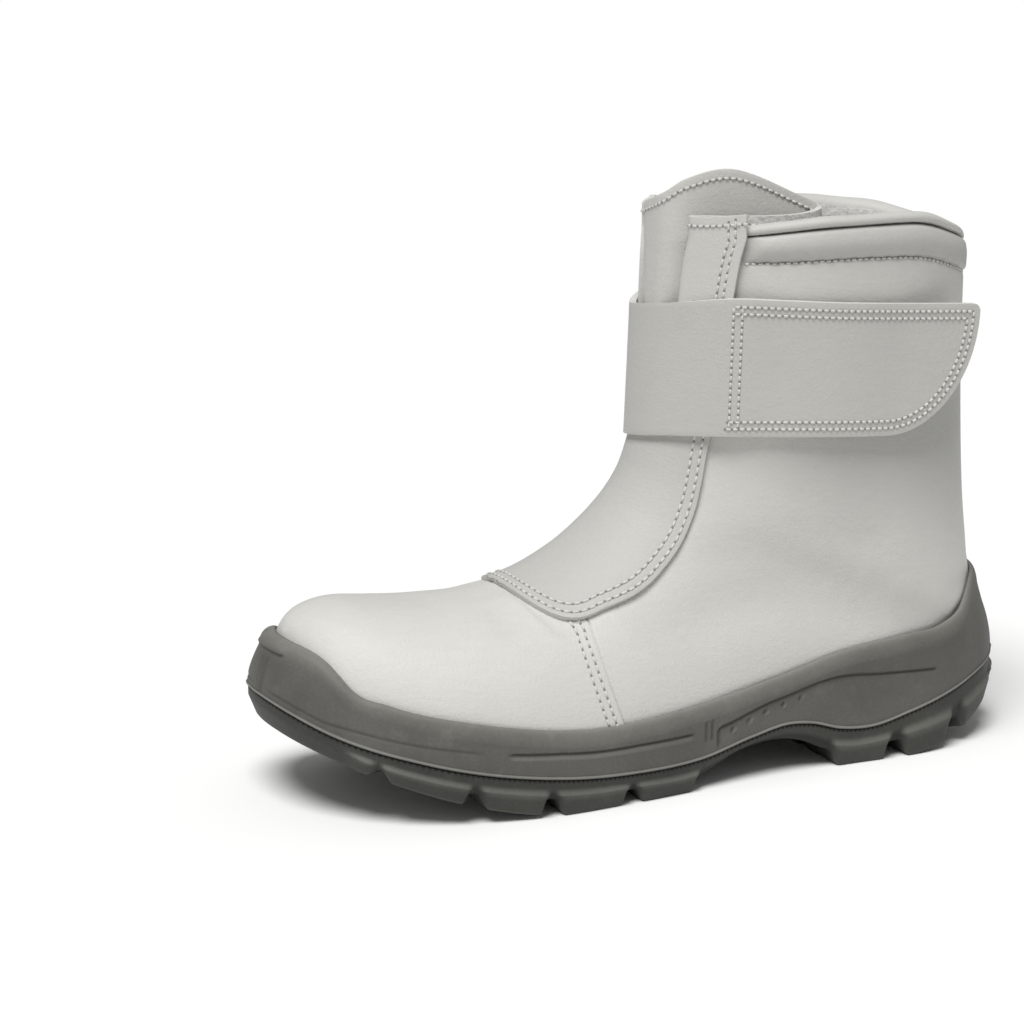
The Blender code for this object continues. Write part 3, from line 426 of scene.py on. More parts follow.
def seam_section(around):
    """Section of the vamp's rear edge, bowed back towards the crest."""
    return SEAM_SECTION + SEAM_BOW * np.clip(SEAM_BOW_END - np.maximum(around, SEAM_BOW_TOP), 0, None) ** 2


def crease_relief(points, side, depth):
    """Soft troughs with a ridge on either side, by distance from each crease's line."""
    total = np.zeros(points.shape[:-1])
    for crease_side, section_a, around_a, section_b, around_b, width, deep in CREASES:
        if crease_side != side:
            continue
        share = np.linspace(0, 1, CREASE_STEPS + 1)
        line = upper_point(blend(section_a, section_b, share), blend(around_a, around_b, share), side)
        apart = np.linalg.norm(points[..., None, :] - line, axis=-1)
        near = apart.argmin(axis=-1)
        gap = np.take_along_axis(apart, near[..., None], -1)[..., 0]
        fade = np.sin(np.pi * np.clip(near / CREASE_STEPS, *CREASE_ENDS)) ** CREASE_FADE
        ridge = CREASE_RIDGE * bell(gap - CREASE_RIDGE_PLACE * width, CREASE_RIDGE_WIDTH * width)
        total += deep * depth * fade * (ridge - bell(gap, CREASE_TROUGH_WIDTH * width))
    return total


# Meshes from grids of points

def to_frame(points):
    return (np.asarray(points, float) + FRAME_SHIFT) * MM


def finished(bm, name, materials):
    """An object at the origin with the mesh of bm, which is freed."""
    mesh = bpy.data.meshes.new(name)
    bm.to_mesh(mesh)
    bm.free()
    for material in materials:
        mesh.materials.append(material)
    piece = bpy.data.objects.new(name, mesh)
    bpy.context.collection.objects.link(piece)
    return piece


def grid_object(name, grids, materials, values=None, closed=False, kinds=None):
    """One object from grids of points: each starts as a bmesh grid whose corners move to the points."""
    bm = bmesh.new()
    layers = {key: bm.verts.layers.float.new(key) for key in values or {}}
    for index, grid in enumerate(grids):
        rows, columns = grid.shape[:2]
        made = bmesh.ops.create_grid(bm, x_segments=columns - 1, y_segments=rows - 1, size=1.0)["verts"]
        for face in {face for vert in made for face in vert.link_faces}:
            face.material_index = kinds[index] if kinds else 0
        places = np.array([vert.co[:2] for vert in made])
        places = (places - places.min(axis=0)) / np.ptp(places, axis=0)
        column = np.rint(places[:, 0] * (columns - 1)).astype(int)
        row = np.rint(places[:, 1] * (rows - 1)).astype(int)
        moved = to_frame(grid)[row, column]
        for vert, point in zip(made, moved):
            vert.co = point
        for key, layer in layers.items():
            for vert, value in zip(made, np.asarray(values[key][index], float)[row, column]):
                vert[layer] = value
    bmesh.ops.remove_doubles(bm, verts=bm.verts, dist=WELD * MM)
    bmesh.ops.dissolve_degenerate(bm, edges=bm.edges, dist=WELD * MM)
    if closed:
        bmesh.ops.recalc_face_normals(bm, faces=bm.faces)
    piece = finished(bm, name, materials)
    piece.data.shade_smooth()
    return piece


def thicken(piece, thickness, offset, edge):
    """Gives a sheet its thickness, with its second material inside, and rounds its cut edges."""
    solid = piece.modifiers.new("thickness", "SOLIDIFY")
    solid.thickness = thickness * MM
    solid.offset = offset
    solid.use_even_offset = False
    solid.material_offset = 1
    solid.material_offset_rim = 2
    rounded = piece.modifiers.new("rounded edge", "BEVEL")
    rounded.width = edge * MM
    rounded.segments = 2
    rounded.limit_method = "ANGLE"
    rounded.angle_limit = np.radians(60)


def grid_size(grids):
    """Width, length and area in metres of a sheet given as grids of points in millimetres."""
    area = width = length = 0.0
    for grid in grids:
        across = np.diff(grid, axis=1)
        along = np.diff(grid, axis=0)
        area += np.linalg.norm(np.cross(across[:-1], along[:, :-1]), axis=-1).sum()
        width = max(width, np.linalg.norm(across, axis=-1).sum(axis=1).max())
        length = max(length, np.linalg.norm(along, axis=-1).sum(axis=0).max())
    return width * MM, length * MM, area * MM * MM


def belongs(piece, slot, *nodes):
    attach(piece, "root")
    if nodes:
        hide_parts(*nodes)


# Shader nodes

class Wire:
    """A socket of a node tree. Arithmetic on it adds Math nodes, and add() adds any other node."""

    def __init__(self, tree, socket=None):
        self.tree = tree
        self.socket = socket

    def add(self, kind, settings, inputs, output=0):
        node = self.tree.nodes.new(kind)
        for name, value in settings.items():
            setattr(node, name, value)
        for name, value in inputs.items():
            if isinstance(value, Wire):
                self.tree.links.new(value.socket, node.inputs[name])
            else:
                node.inputs[name].default_value = value
        return Wire(self.tree, node.outputs[output])

    def maths(self, operation, first, second):
        return self.add("ShaderNodeMath", {"operation": operation}, {0: first, 1: second})

    def __add__(self, other):
        return self.maths("ADD", self, other)

    def __radd__(self, other):
        return self.maths("ADD", other, self)

    def __sub__(self, other):
        return self.maths("SUBTRACT", self, other)

    def __mul__(self, other):
        return self.maths("MULTIPLY", self, other)

    def ramp(self, low, high):
        """This value as a share from 0 at low to 1 at high."""
        return self.add("ShaderNodeMapRange", {"interpolation_type": "SMOOTHSTEP"},
                        {"Value": self, "From Min": low, "From Max": high})

    def mix(self, first, second):
        """Colour from first to second by this value."""
        return self.add("ShaderNodeMix", {"data_type": "RGBA"}, {"Factor": self, 6: first, 7: second}, 2)

    def noise(self, scale, detail=3.0, rough=0.55, stretch=(1.0, 1.0, 1.0)):
        """Noise over the piece's own place in metres, drawn out along axes with a low stretch."""
        place = self.add("ShaderNodeTexCoord", {}, {}, "Object")
        place = self.add("ShaderNodeVectorMath", {"operation": "MULTIPLY"}, {0: place, 1: stretch})
        return self.add("ShaderNodeTexNoise", {},
                        {"Vector": place, "Scale": scale, "Detail": detail, "Roughness": rough}, "Fac")

    def cells(self, scale):
        """Distance to the nearest of scattered points over the piece's own place."""
        place = self.add("ShaderNodeTexCoord", {}, {}, "Object")
        return self.add("ShaderNodeTexVoronoi", {}, {"Vector": place, "Scale": scale}, "Distance")

    def attribute(self, name):
        return self.add("ShaderNodeAttribute", {"attribute_name": name}, {}, "Fac")

    def bump(self, strength, distance):
        return self.add("ShaderNodeBump", {}, {"Height": self, "Strength": strength, "Distance": distance})


def colour(red, green, blue):
    """Linear colour from a display colour of 0 to 255 a channel."""
    return tuple(((value / 255 + 0.055) / 1.055) ** 2.4 for value in (red, green, blue))


def dim(light, share=1.0):
    """A share of a linear colour, with its alpha."""
    return (*(share * channel for channel in light), 1.0)


def shaded(name, constants, build):
    """A material whose shader gets constants by socket name and wires from build."""
    made = bpy.data.materials.get(name)
    if made:
        return made
    made = bpy.data.materials.new(name)
    made.use_nodes = True
    tree = made.node_tree
    shader = tree.nodes["Principled BSDF"]
    for socket, value in constants.items():
        shader.inputs[socket].default_value = value
    for socket, wire in build(Wire(tree)).items():
        tree.links.new(wire.socket, shader.inputs[socket])
    return made


def microfibre(name, light):
    """Warm white microfibre: fine grain in level streaks, a faint cloud, painted shade in troughs, seams and
    under the strap.
    """
    def build(start):
        cloud = start.noise(22.0, 4.0)
        streak = start.noise(800.0, 3.0, stretch=(0.16, 0.16, 1.0))
        darkening = start.noise(85.0, 5.0, 0.7).ramp(0.55, 0.85)
        pores = start.cells(1100.0)
        nap = start.noise(2600.0, 2.0)
        painted_shade = start.attribute("painted_shade")
        tone = (cloud - 0.5) * 0.14 + (streak - 0.5) * 0.16 + (nap - 0.5) * 0.10 + 0.5 - darkening * 0.06
        base = tone.ramp(0.0, 1.0).mix(dim(light, 0.71), dim(light))
        # Painted shade: the grain darkens towards a deep tone where the mesh's attribute says
        base = painted_shade.mix(base, dim(light, 0.136))
        relief = pores * 0.6 + nap * 0.5 + start.noise(300.0, 3.0) * 0.8 + start.noise(640.0, 3.0) * 0.9
        return {
            "Base Color": base,
            "Roughness": 0.52 + (cloud - 0.5) * 0.2 + (nap - 0.5) * 0.1,
            "Normal": relief.bump(0.4, 0.0003),
        }
    return shaded(name, {"Specular IOR Level": 0.32, "Sheen Weight": 0.08}, build)


def fleece(name, light):
    """Short pile lining."""
    def build(start):
        tufts = start.noise(420.0, 5.0, 0.7)
        pile = start.noise(1800.0, 2.0)
        cloud = start.noise(40.0, 3.0)
        tone = tufts * 0.7 + pile * 0.2 + cloud * 0.3
        base = tone.ramp(0.3, 0.9).mix(dim(light, 0.61), dim(light))
        return {
            "Base Color": base,
            "Roughness": 0.9 + (pile - 0.5) * 0.1,
            "Normal": (tufts + pile * 0.4).bump(0.8, 0.0012),
        }
    return shaded(name, {"Specular IOR Level": 0.1, "Sheen Weight": 0.4}, build)


def polyurethane(name, dark, light):
    """Matte moulded sole: fine pebble, a painted highlight on the raised edges, painted shade in the grooves,
    a dotted line under the parting rib.
    """
    def build(start):
        cloud = start.noise(30.0, 4.0)
        pebble = start.noise(900.0, 3.0)
        dust = start.noise(140.0, 5.0, 0.7).ramp(0.5, 0.8)
        # Painted highlight from the edge attribute, painted shade from the groove attribute
        edge = start.attribute("edge")
        groove = start.attribute("groove")
        place = start.attribute("place")
        wave = start.add("ShaderNodeMath", {"operation": "SINE"}, {0: place * 3.3})
        dots = wave.ramp(-0.2, 0.4) * start.attribute("dotted")
        tone = 0.30 + (cloud - 0.5) * 0.3 + (pebble - 0.5) * 0.12 + edge * 0.75 + dust * 0.10
        tone = tone - groove * 0.5 - dots * 0.45
        base = tone.ramp(0.0, 1.0).mix(dim(dark), dim(light))
        relief = pebble + start.noise(350.0, 3.0) * 0.8 - dots * 1.5
        return {
            "Base Color": base,
            "Roughness": 0.62 + (cloud - 0.5) * 0.2 + dust * 0.1,
            "Normal": relief.bump(0.3, 0.0004),
        }
    return shaded(name, {"Specular IOR Level": 0.35}, build)


def thread(name, light):
    """Twisted thread, or the dark disc painted as a needle hole's shade."""
    def build(start):
        twist = start.noise(1500.0, 2.0)
        base = twist.mix(dim(light, 0.61), dim(light))
        return {"Base Color": base, "Roughness": 0.55 + twist * 0.2, "Normal": twist.bump(0.4, 0.0002)}
    return shaded(name, {"Specular IOR Level": 0.3}, build)


def paper(name, light):
    """Plain white studio paper."""
    def build(start):
        base = start.noise(6.0).mix(dim(light, 0.965), dim(light))
        return {"Base Color": base, "Roughness": 0.85 + start.noise(40.0) * 0.1}
    return shaded(name, {"Specular IOR Level": 0.1}, build)


def sheet_materials(settings, name, light):
    """Outer face, fleece inside and cut edge of a sheet."""
    return (microfibre(name, light), fleece("lining fleece", settings.lining_colour),
            microfibre("cut edge", settings.edge_colour))


# Upper pieces

def vamp_offset(section, around, side, creases):
    """How far the vamp stands out from the last's surface."""
    beyond = wall_distance(section, around, side) - panel_half_width(section)
    step = SEAM_STEP * smooth_step(SEAM_STEP_START, SEAM_SECTION, section)
    step = step * smooth_step(*SEAM_STEP_BLEND, beyond)
    return step + crease_relief(upper_point(section, around, side), side, creases)


def band_start(around):
    """Section of the padded band's lower seam, higher towards the back."""
    return BAND_START + BAND_LIFT * smooth_step(*BAND_LIFT_RUN, around)


def band_share(section, around):
    """Share of the way up the padded band."""
    start = band_start(around)
    return np.clip((section - start) / (BAND_END - start), 0, 1)


def quarter_offset(section, around, side, creases):
    """How far the quarter stands out: tucked under the vamp, bulged in the padded band under the collar."""
    tuck = TUCK_DEPTH * (1 - smooth_step(*TUCK_RAMP, section - seam_section(around)))
    distance = wall_distance(section, around, side)
    beyond = smooth_step(*BAND_BLEND, distance - panel_half_width(section))
    share = band_share(section, around)
    bulge = blend(BAND_BULGE, BAND_BACK_BULGE, smooth_step(*BAND_BULGE_FADE, around))
    band = bulge * np.sin(np.pi * np.interp(share, (0, 1), BAND_ARC)) * smooth_step(0, BAND_EDGE, share)
    groove = BAND_GROOVE_DEPTH * bell(section - band_start(around), BAND_GROOVE_WIDTH)
    drift = PUCKER_DRIFT * np.sin(distance / PUCKER_DRIFT_RUN)
    ripple = np.sin(2 * np.pi * distance / PUCKER_PITCH + drift)
    pucker = PUCKER_DEPTH * ripple * bell(share - PUCKER_PLACE, PUCKER_REACH) * (share > 0)
    seam = COLLAR_SEAM_DEPTH * bell(share - 1, COLLAR_SEAM_WIDTH)
    crease = crease_relief(upper_point(section, around, side), side, creases)
    return (band + pucker - groove - seam) * beyond - tuck + crease


def on_wall(section, around, side, offset):
    return upper_point(section, around, side) + upper_normal(section, around, side) * offset[..., None]


def painted_crease_shade(section, around, side):
    """Painted shade in the creases."""
    relief = crease_relief(upper_point(section, around, side), side, 1.0)
    return np.clip(-relief, 0, 1) * CREASE_SHADE


def vamp_grid(creases):
    """Columns from the medial lasting edge over the crest to the lateral, rows from the toe to the seam."""
    rows = np.concatenate((np.linspace(0, 1, 22) ** 1.5, np.linspace(1, SEAM_SECTION, 100)[1:]))
    around = np.linspace(0, 1, 72)
    halves, painted_shades = [], []
    for side in (MEDIAL, LATERAL):
        row, column = np.meshgrid(rows, around, indexing="ij")
        section = row * seam_section(column) / SEAM_SECTION
        halves.append(on_wall(section, column, side, vamp_offset(section, column, side, creases)))
        painted_shades.append(painted_crease_shade(section, column, side))
    joined = np.concatenate((halves[0][:, ::-1], halves[1][:, 1:]), axis=1)
    return joined, np.concatenate((painted_shades[0][:, ::-1], painted_shades[1][:, 1:]), axis=1)


def quarter_rows():
    """Sections of the quarter's rows, closer at the vamp's edge, the band's seam and the collar."""
    rows = spaced((TUCK_START, 7.0, 6), (7.0, 7.3, 12), (7.3, THROAT_START, 8),
                  (THROAT_START, THROAT_FULL, 14), (THROAT_FULL, 14.0, 60), (14.0, 17.8, 50),
                  (17.8, 18.2, 14), (18.2, 18.85, 16), (18.85, COLLAR_SECTION, 9))
    return np.unique(np.round(rows, 6))


def quarter_grid(side, creases):
    """Rows from under the vamp to the collar, columns from the throat to the back; painted shade under the
    strap.
    """
    rows = quarter_rows()
    shares = np.linspace(0, 1, 84)
    start = np.array([around_at(row, throat_half_width(row), side) for row in rows])
    around = start[:, None] + (1 - start[:, None]) * shares
    spread = 1 - smooth_step(SEAM_SECTION, SEAM_SPREAD_END, rows)
    section = rows[:, None] + spread[:, None] * (seam_section(around) - SEAM_SECTION)
    shift = np.interp(rows, (THROAT_FULL, BAND_START, BAND_END), (0, 1, 0))
    section = section + shift[:, None] * (band_start(around) - BAND_START)
    section = np.minimum(section, COLLAR_SECTION)
    grid = on_wall(section, around, side, quarter_offset(section, around, side, creases))
    share = band_share(section, around)
    # Painted shade in the creases, over the padded band's lower half and its seams, and under the strap
    shade = BAND_SHADE * (1 - 0.5 * share) * smooth_step(0, BAND_SHADE_EDGE, share)
    painted_shade = painted_crease_shade(section, around, side) + shade
    painted_shade = painted_shade + BAND_SEAM_SHADE * bell(section - band_start(around), BAND_GROOVE_WIDTH)
    painted_shade = painted_shade + bell(section - COLLAR_SECTION, COLLAR_SEAM_SHADE_WIDTH)
    darkening = window(STRAP_SHADE_RISE, STRAP_SHADE_TOP, grid[..., 2]) * smooth_step(*STRAP_SHADE_BACK, around)
    painted_shade = painted_shade + STRAP_SHADE * darkening
    if side == MEDIAL:
        return grid[:, ::-1], painted_shade[:, ::-1]
    return grid, painted_shade


# Front panel

def panel_row(section, shares, side, hem):
    """Middle of the front panel's sheet on one row: over the wall, then folded into the bellows."""
    half = panel_half_width(section)
    sewn = half - PANEL_SEWN_MARGIN * min(1.0, half / PANEL_NARROW_HALF)
    lift = PANEL_SEAT_GAP + 0.5 * PANEL_THICKNESS

    def over_wall(distance):
        around = around_at(section, distance, side)
        welt = PANEL_WELT * smooth_step(*PANEL_WELT_RUN, half - distance)
        welt = welt * smooth_step(*PANEL_WELT_RISE, section)
        return on_wall(section, around, side, lift + welt)

    place = over_wall(np.interp(shares, (0, PANEL_SEWN_SHARE, 1), (0, sewn, half)))
    fold = float(smooth_step(FOLD_START, FOLD_FULL, section))
    seam = over_wall(np.array([sewn]))[0]
    inner = np.minimum(shares, PANEL_SEWN_SHARE)
    shift = (seam[0] - FOLDS.columns["x"][-1]) * (inner / PANEL_SEWN_SHARE) ** 2
    spread = seam[1] / FOLDS.columns["half_y"][-1]
    if side == MEDIAL:
        shift = shift + MEDIAL_FOLD_BACK * bell(inner - MEDIAL_FOLD_SHARE, MEDIAL_FOLD_WIDTH)
    plan = np.stack((FOLDS.at("x", inner, 0.0) + shift, FOLDS.at("half_y", inner) * spread), -1)
    folded = fold * (shares < PANEL_SEWN_SHARE)
    place[:, :2] += folded[:, None] * (plan - place[:, :2])
    lift_table = FOLDS if side == LATERAL else MEDIAL_LIFT
    place[:, 2] += hem * (HEM_HEIGHT + fold * lift_table.at("lift", shares, side * HEM_SLOPE))
    return place


def panel_grid():
    """Rows from the tab's tip to the hem, columns from the medial edge to the lateral one."""
    tab = PANEL_TIP + PANEL_TIP_GAP + (PANEL_SHOULDER - PANEL_TIP) * np.linspace(0, 1, 34) ** 2
    above = np.linspace(PANEL_SHOULDER, COLLAR_SECTION, 110)[1:]
    rows = [(section, 0.0) for section in np.concatenate((tab, above))]
    rows += [(float(COLLAR_SECTION), hem) for hem in np.linspace(0, 1, 13)[1:]]
    shares = spaced((0, 0.7, 50), (0.7, PANEL_SEWN_SHARE, 26), (PANEL_SEWN_SHARE, 1, 9))
    grid = []
    for section, hem in rows:
        lateral = panel_row(section, shares, LATERAL, hem)
        medial = panel_row(section, shares, MEDIAL, hem)
        grid.append(np.concatenate((medial[::-1], lateral[1:])))
    return np.array(grid)


def grid_normals(grid):
    return unit(np.cross(np.gradient(grid, axis=1), np.gradient(grid, axis=0)))


# Collar roll, as distance out of the collar's edge and height over it
ROLL_PROFILE = (
    (-1.6, 0.0), (-0.4, 0.5), (0.4, 1.3), (0.5, 2.3), (0.0, 3.2), (-1.0, 3.8), (-2.5, 4.1), (-4.4, 3.8),
    (-6.2, 2.8), (-7.4, 1.0), (-8.1, -1.6), (-8.4, -6.0), (-8.0, -12.0), (-6.8, -18.0), (-5.2, -23.0),
    (-4.0, -24.4), (-3.2, -23.6), (-3.1, -16.0), (-3.1, -8.0), (-3.0, -2.0), (-2.0, -0.3),
)
ROLL_FLEECE_FROM = 9.0 / 21.0
ROLL_MIDDLE, ROLL_TAPER, ROLL_COLUMNS = (-3.0, -4.0), 5.0, 90
ROLL_UNDER, ROLL_TUCK, ROLL_TUCK_RUN = 8.0, 0.9, (6.0, 9.0)
ROLL_WAVES = ((0.02, 8.5, 0.0), (0.015, 3.7, 1.2))
ROLL_THIN, ROLL_THIN_MOST, ROLL_THIN_PLACE, ROLL_THIN_WIDTH = 0.5, 2.0, 0.88, 0.11


def closed_curve(points, count):
    """A smooth closed curve through points, evenly sampled, its first point repeated at the end."""
    points = np.asarray(points, float)
    size = len(points)
    where = np.linspace(0, size, count + 1)
    whole = np.floor(where).astype(int)
    part = (where - whole)[:, None]
    before, first, second, after = (points[(whole + k) % size] for k in (-1, 0, 1, 2))
    return 0.5 * (2 * first + (second - before) * part
                  + (2 * before - 5 * first + 4 * second - after) * part ** 2
                  + (3 * first - before - 3 * second + after) * part ** 3)


def roll_grid():
    """Padded roll over the top edge, turned down inside, from one side of the front panel to the other."""
    profile = closed_curve(ROLL_PROFILE, 60)
    middle = np.array(ROLL_MIDDLE)
    halves = []
    for side in (LATERAL, MEDIAL):
        first = around_at(float(COLLAR_SECTION), panel_half_width(COLLAR_SECTION) - ROLL_UNDER, side)
        around = np.linspace(first, 1, ROLL_COLUMNS)
        along = wall_distance(COLLAR_SECTION, around, side)
        taper = np.sqrt(1 - np.clip(1 - (along - along[0]) / ROLL_TAPER, 0, 1) ** 2)
        soft = 1 + sum(size * np.sin(along / run + start) for size, run, start in ROLL_WAVES)
        shape = middle + (profile - middle)[None] * (taper * soft)[:, None, None]
        thin = ROLL_THIN * (side == LATERAL) * bell(around - ROLL_THIN_PLACE, ROLL_THIN_WIDTH)[:, None]
        out, up = shape[..., 0], shape[..., 1]
        out = out - thin * np.clip(out - middle[0], 0, ROLL_THIN_MOST)
        up = up - thin * np.maximum(up, 0)
        out = out - ROLL_TUCK * (1 - smooth_step(*ROLL_TUCK_RUN, along - along[0]))[:, None]
        column = np.broadcast_to(around[:, None], out.shape)
        edge_z = upper_point(COLLAR_SECTION, column, side)[..., 2]
        section = section_at_height(column, edge_z + np.minimum(up, -0.01), side)
        normal = level_normal(section, column, side)
        base = upper_point(section, column, side)
        base[..., 2] += np.maximum(up, 0)
        halves.append(base + normal * out[..., None])
    return np.concatenate((halves[0], halves[1][-2::-1]))


# Strap

def upper_columns(section, side):
    start = around_at(section, throat_half_width(section), side)
    return start + (1 - start) * np.linspace(0, 1, UPPER_COLUMNS + 1)


def strap_path(z):
    """Inner face of the strap in plan at a height, from its sewn medial end to its free lateral end."""
    halves = []
    for side, columns in ((MEDIAL, STRAP_SEWN_COLUMNS), (LATERAL, STRAP_LATERAL_COLUMNS)):
        last = upper_columns(float(section_at_height(STRAP_PROBE, z, side)), side)[columns]
        around = np.linspace(0, last, STRAP_HALF_PATH)
        section = section_at_height(around, z, side)
        normal = level_normal(section, around, side)
        beyond = wall_distance(section, around, side) - panel_half_width(section)
        free = (side == LATERAL) * STRAP_STAND_OFF * smooth_step(STRAP_STAND_START * last, last, around)
        gap = free + blend(STRAP_FRONT_GAP, STRAP_SEWN_GAP, smooth_step(0, STRAP_SETTLE_RUN, beyond))
        halves.append((upper_point(section, around, side) + gap[:, None] * normal)[:, :2])
    free = halves[1][-1] + np.linspace((0, 0), (STRAP_FREE_LENGTH, STRAP_FREE_SWING), 24)[1:]
    path = np.concatenate((halves[0][:0:-1], halves[1], free))
    for _ in range(3):
        path[1:-1] = 0.25 * path[:-2] + 0.5 * path[1:-1] + 0.25 * path[2:]
    return path


class Strap:
    """The strap's inner face by run along it and height."""

    def __init__(self):
        self.low, self.high = strap_path(STRAP_LOW_CUT), strap_path(STRAP_HIGH_CUT)
        self.runs = run_along(self.low)
        self.front = self.runs[STRAP_HALF_PATH - 1]
        self.end = self.runs[-1]

    def corner(self, run, length, tall):
        """How far a rounded corner at the free end cuts into the strap."""
        past = np.clip((run - self.end + length) / length, 0, 1)
        return tall * (1 - np.sqrt(1 - past ** 2))

    def bottom(self, run):
        corner = self.corner(run, STRAP_CORNER_LENGTH, STRAP_CORNER_HEIGHT)
        return STRAP_EDGES.at("bottom", run - self.front) + corner

    def top(self, run):
        corner = self.corner(run, STRAP_TIP_LENGTH, STRAP_TIP_HEIGHT)
        return STRAP_EDGES.at("top", run - self.front) - corner

    def runs_from(self, first, count, corner_count):
        """Runs up to the free end, closer in its corner."""
        before = np.linspace(first, self.end - STRAP_CORNER_LENGTH, count)[:-1]
        return np.concatenate((before, self.end - STRAP_CORNER_LENGTH * np.linspace(1, 0, corner_count) ** 2))

    def point(self, run, z):
        """Place at a run and a height, ruled between two level cuts."""
        part = ((np.asarray(z) - STRAP_LOW_CUT) / (STRAP_HIGH_CUT - STRAP_LOW_CUT))[..., None]
        low = np.stack([np.interp(run, self.runs, self.low[:, axis]) for axis in (0, 1)], -1)
        high = np.stack([np.interp(run, self.runs, self.high[:, axis]) for axis in (0, 1)], -1)
        return np.concatenate((blend(low, high, part), np.asarray(z)[..., None]), -1)

    def normal(self, run, z):
        """Outward unit normal, kept clear of the strap's ends."""
        run = np.clip(run, STRAP_END_CLEAR, self.end - STRAP_END_CLEAR)
        small = 0.6
        along = self.point(run + small, z) - self.point(run - small, z)
        upward = self.point(run, z + small) - self.point(run, z - small)
        return unit(np.cross(along, upward))

    def grid(self):
        """Middle of the strap's sheet."""
        shares = np.linspace(0, 1, 26)[:, None]
        run, shares = np.broadcast_arrays(self.runs_from(0, 110, 40), shares)
        z = blend(self.bottom(run), self.top(run), shares)
        return self.point(run, z) + 0.5 * STRAP_THICKNESS * self.normal(run, z)

    def outline(self, first, inset):
        """Run and height of a line inside the edges of the strap's free half, clear of its corners."""
        runs = self.runs_from(first, 120, 90)
        upper, lower = (np.stack((runs, edge(runs)), -1) for edge in (self.top, self.bottom))
        edge = np.concatenate((upper, lower[::-1]))
        along = unit(np.gradient(edge, axis=0))
        line = edge + inset * np.stack((along[:, 1], -along[:, 0]), -1)
        clear = np.linalg.norm(line[:, None] - edge[None], axis=-1).min(axis=1) > inset - STRAP_STITCH_SLACK
        clear &= line[:, 1] < self.top(line[:, 0])
        clear &= line[:, 0] < self.end - STRAP_STITCH_END * inset
        return line[clear]


# Rays from the middle of the sole to the upper

def last_tree():
    """Search tree over the last's surface, without seams or creases."""
    section, around = np.meshgrid(np.linspace(0, 17, 137), np.linspace(0, 1, 72), indexing="ij")
    rows, columns = section.shape
    points, faces = [], []
    for side in (LATERAL, MEDIAL):
        first = len(points)
        points.extend(map(Vector, upper_point(section, around, side).reshape(-1, 3)))
        for row in range(rows - 1):
            for column in range(columns - 1):
                corner = first + row * columns + column
                faces.append((corner, corner + 1, corner + columns + 1, corner + columns))
    return BVHTree.FromPolygons(points, faces)


def spine_y(x):
    """Middle line of the sole, swung to the inner side at the toe."""
    return SPINE_SWING * np.clip((FAN_HEEL_X - x) / (FAN_HEEL_X - FAN_TOE_X), 0, 1)


def station(place, side):
    """Origin and outward direction of a cut through the sole: across the foot, fanned at toe and heel."""
    origin_x = float(np.clip(place, FAN_TOE_X, FAN_HEEL_X))
    turn = np.radians(90 - (place - origin_x) / FAN_MM_PER_DEGREE)
    return np.array((origin_x, spine_y(origin_x))), np.array((np.cos(turn), side * np.sin(turn)))


def lasting_height(x):
    """Height of the upper's lower edge along the boot."""
    edge_x = TOE_X + SECTIONS.columns["back_along"][:CLOSED_SECTION + 1] * LAST_LENGTH / 100
    edge_z = height(SECTIONS.columns["back_up"][:CLOSED_SECTION + 1])
    return np.interp(x, edge_x, edge_z)


class SoleCut:
    """One cut through the sole at a place round it: wall distances, rim height and edge radius."""

    def __init__(self, tree, place, side):
        self.tree, self.place = tree, place
        self.origin, self.direction = station(place, side)
        self.edge = self.reach(lasting_height(self.x(EDGE_GUESS_RADIUS)) + EDGE_GUESS_LIFT)
        self.edge_z = float(lasting_height(self.x(self.edge))) + EDGE_LIFT
        self.edge = self.reach(self.edge_z) or self.edge
        self.rim_z = float(RIM.at("z", self.x(self.edge)))
        for _ in range(3):
            self.rim_z = 0.5 * (self.rim_z + float(RIM.at("z", self.x(self.wall(self.rim_z)))))
        self.foot = self.edge + float(FLARE.at("out", self.x(self.edge)))

    def x(self, radius):
        return self.origin[0] + radius * self.direction[0]

    def reach(self, z):
        """Distance from the spine to the upper at a height, or None where the ray passes it."""
        start = Vector((self.origin[0], self.origin[1] + RAY_NUDGE, z))
        hit = self.tree.ray_cast(start, Vector((*self.direction, 0.0)))[0]
        return None if hit is None else float(np.hypot(hit.x - self.origin[0], hit.y - self.origin[1]))

    def wall(self, z):
        """Distance to the upper at a height; below its edge, the edge's own."""
        if z <= self.edge_z:
            return self.edge
        return self.reach(z) or self.edge

    def points(self, profile):
        """Places of a profile of radii and heights."""
        radius, z = np.array(profile, float).T
        plan = self.origin + radius[:, None] * self.direction
        return np.column_stack((plan, z))


def ring_of_cuts(tree, places):
    """Cuts from the heel along the lateral side to the toe and back along the medial side."""
    lateral = [SoleCut(tree, place, LATERAL) for place in places[::-1]]
    medial = [SoleCut(tree, place, MEDIAL) for place in places]
    return lateral + medial


# The cup's lip, as distance out of the upper and height over the rim
RIM_LIP = (
    (CUP_GAP, -0.6), (0.6, 0.1), (1.1, 0.5), (1.7, 0.55), (2.3, 0.2), (2.8, -0.5), (3.2, -1.4),
    (3.5, -2.4), (3.75, -3.4), (3.95, -4.4), (4.1, -5.4),
)

# Thick tab of the lip over the toe's middle: run from the middle, thickness and swell of the wall below it
TOE_TAB_RUN, TOE_TAB_OUT, TOE_SWELL, TOE_SWELL_REACH = (8.0, 10.0), 1.3, 3.4, 30.0

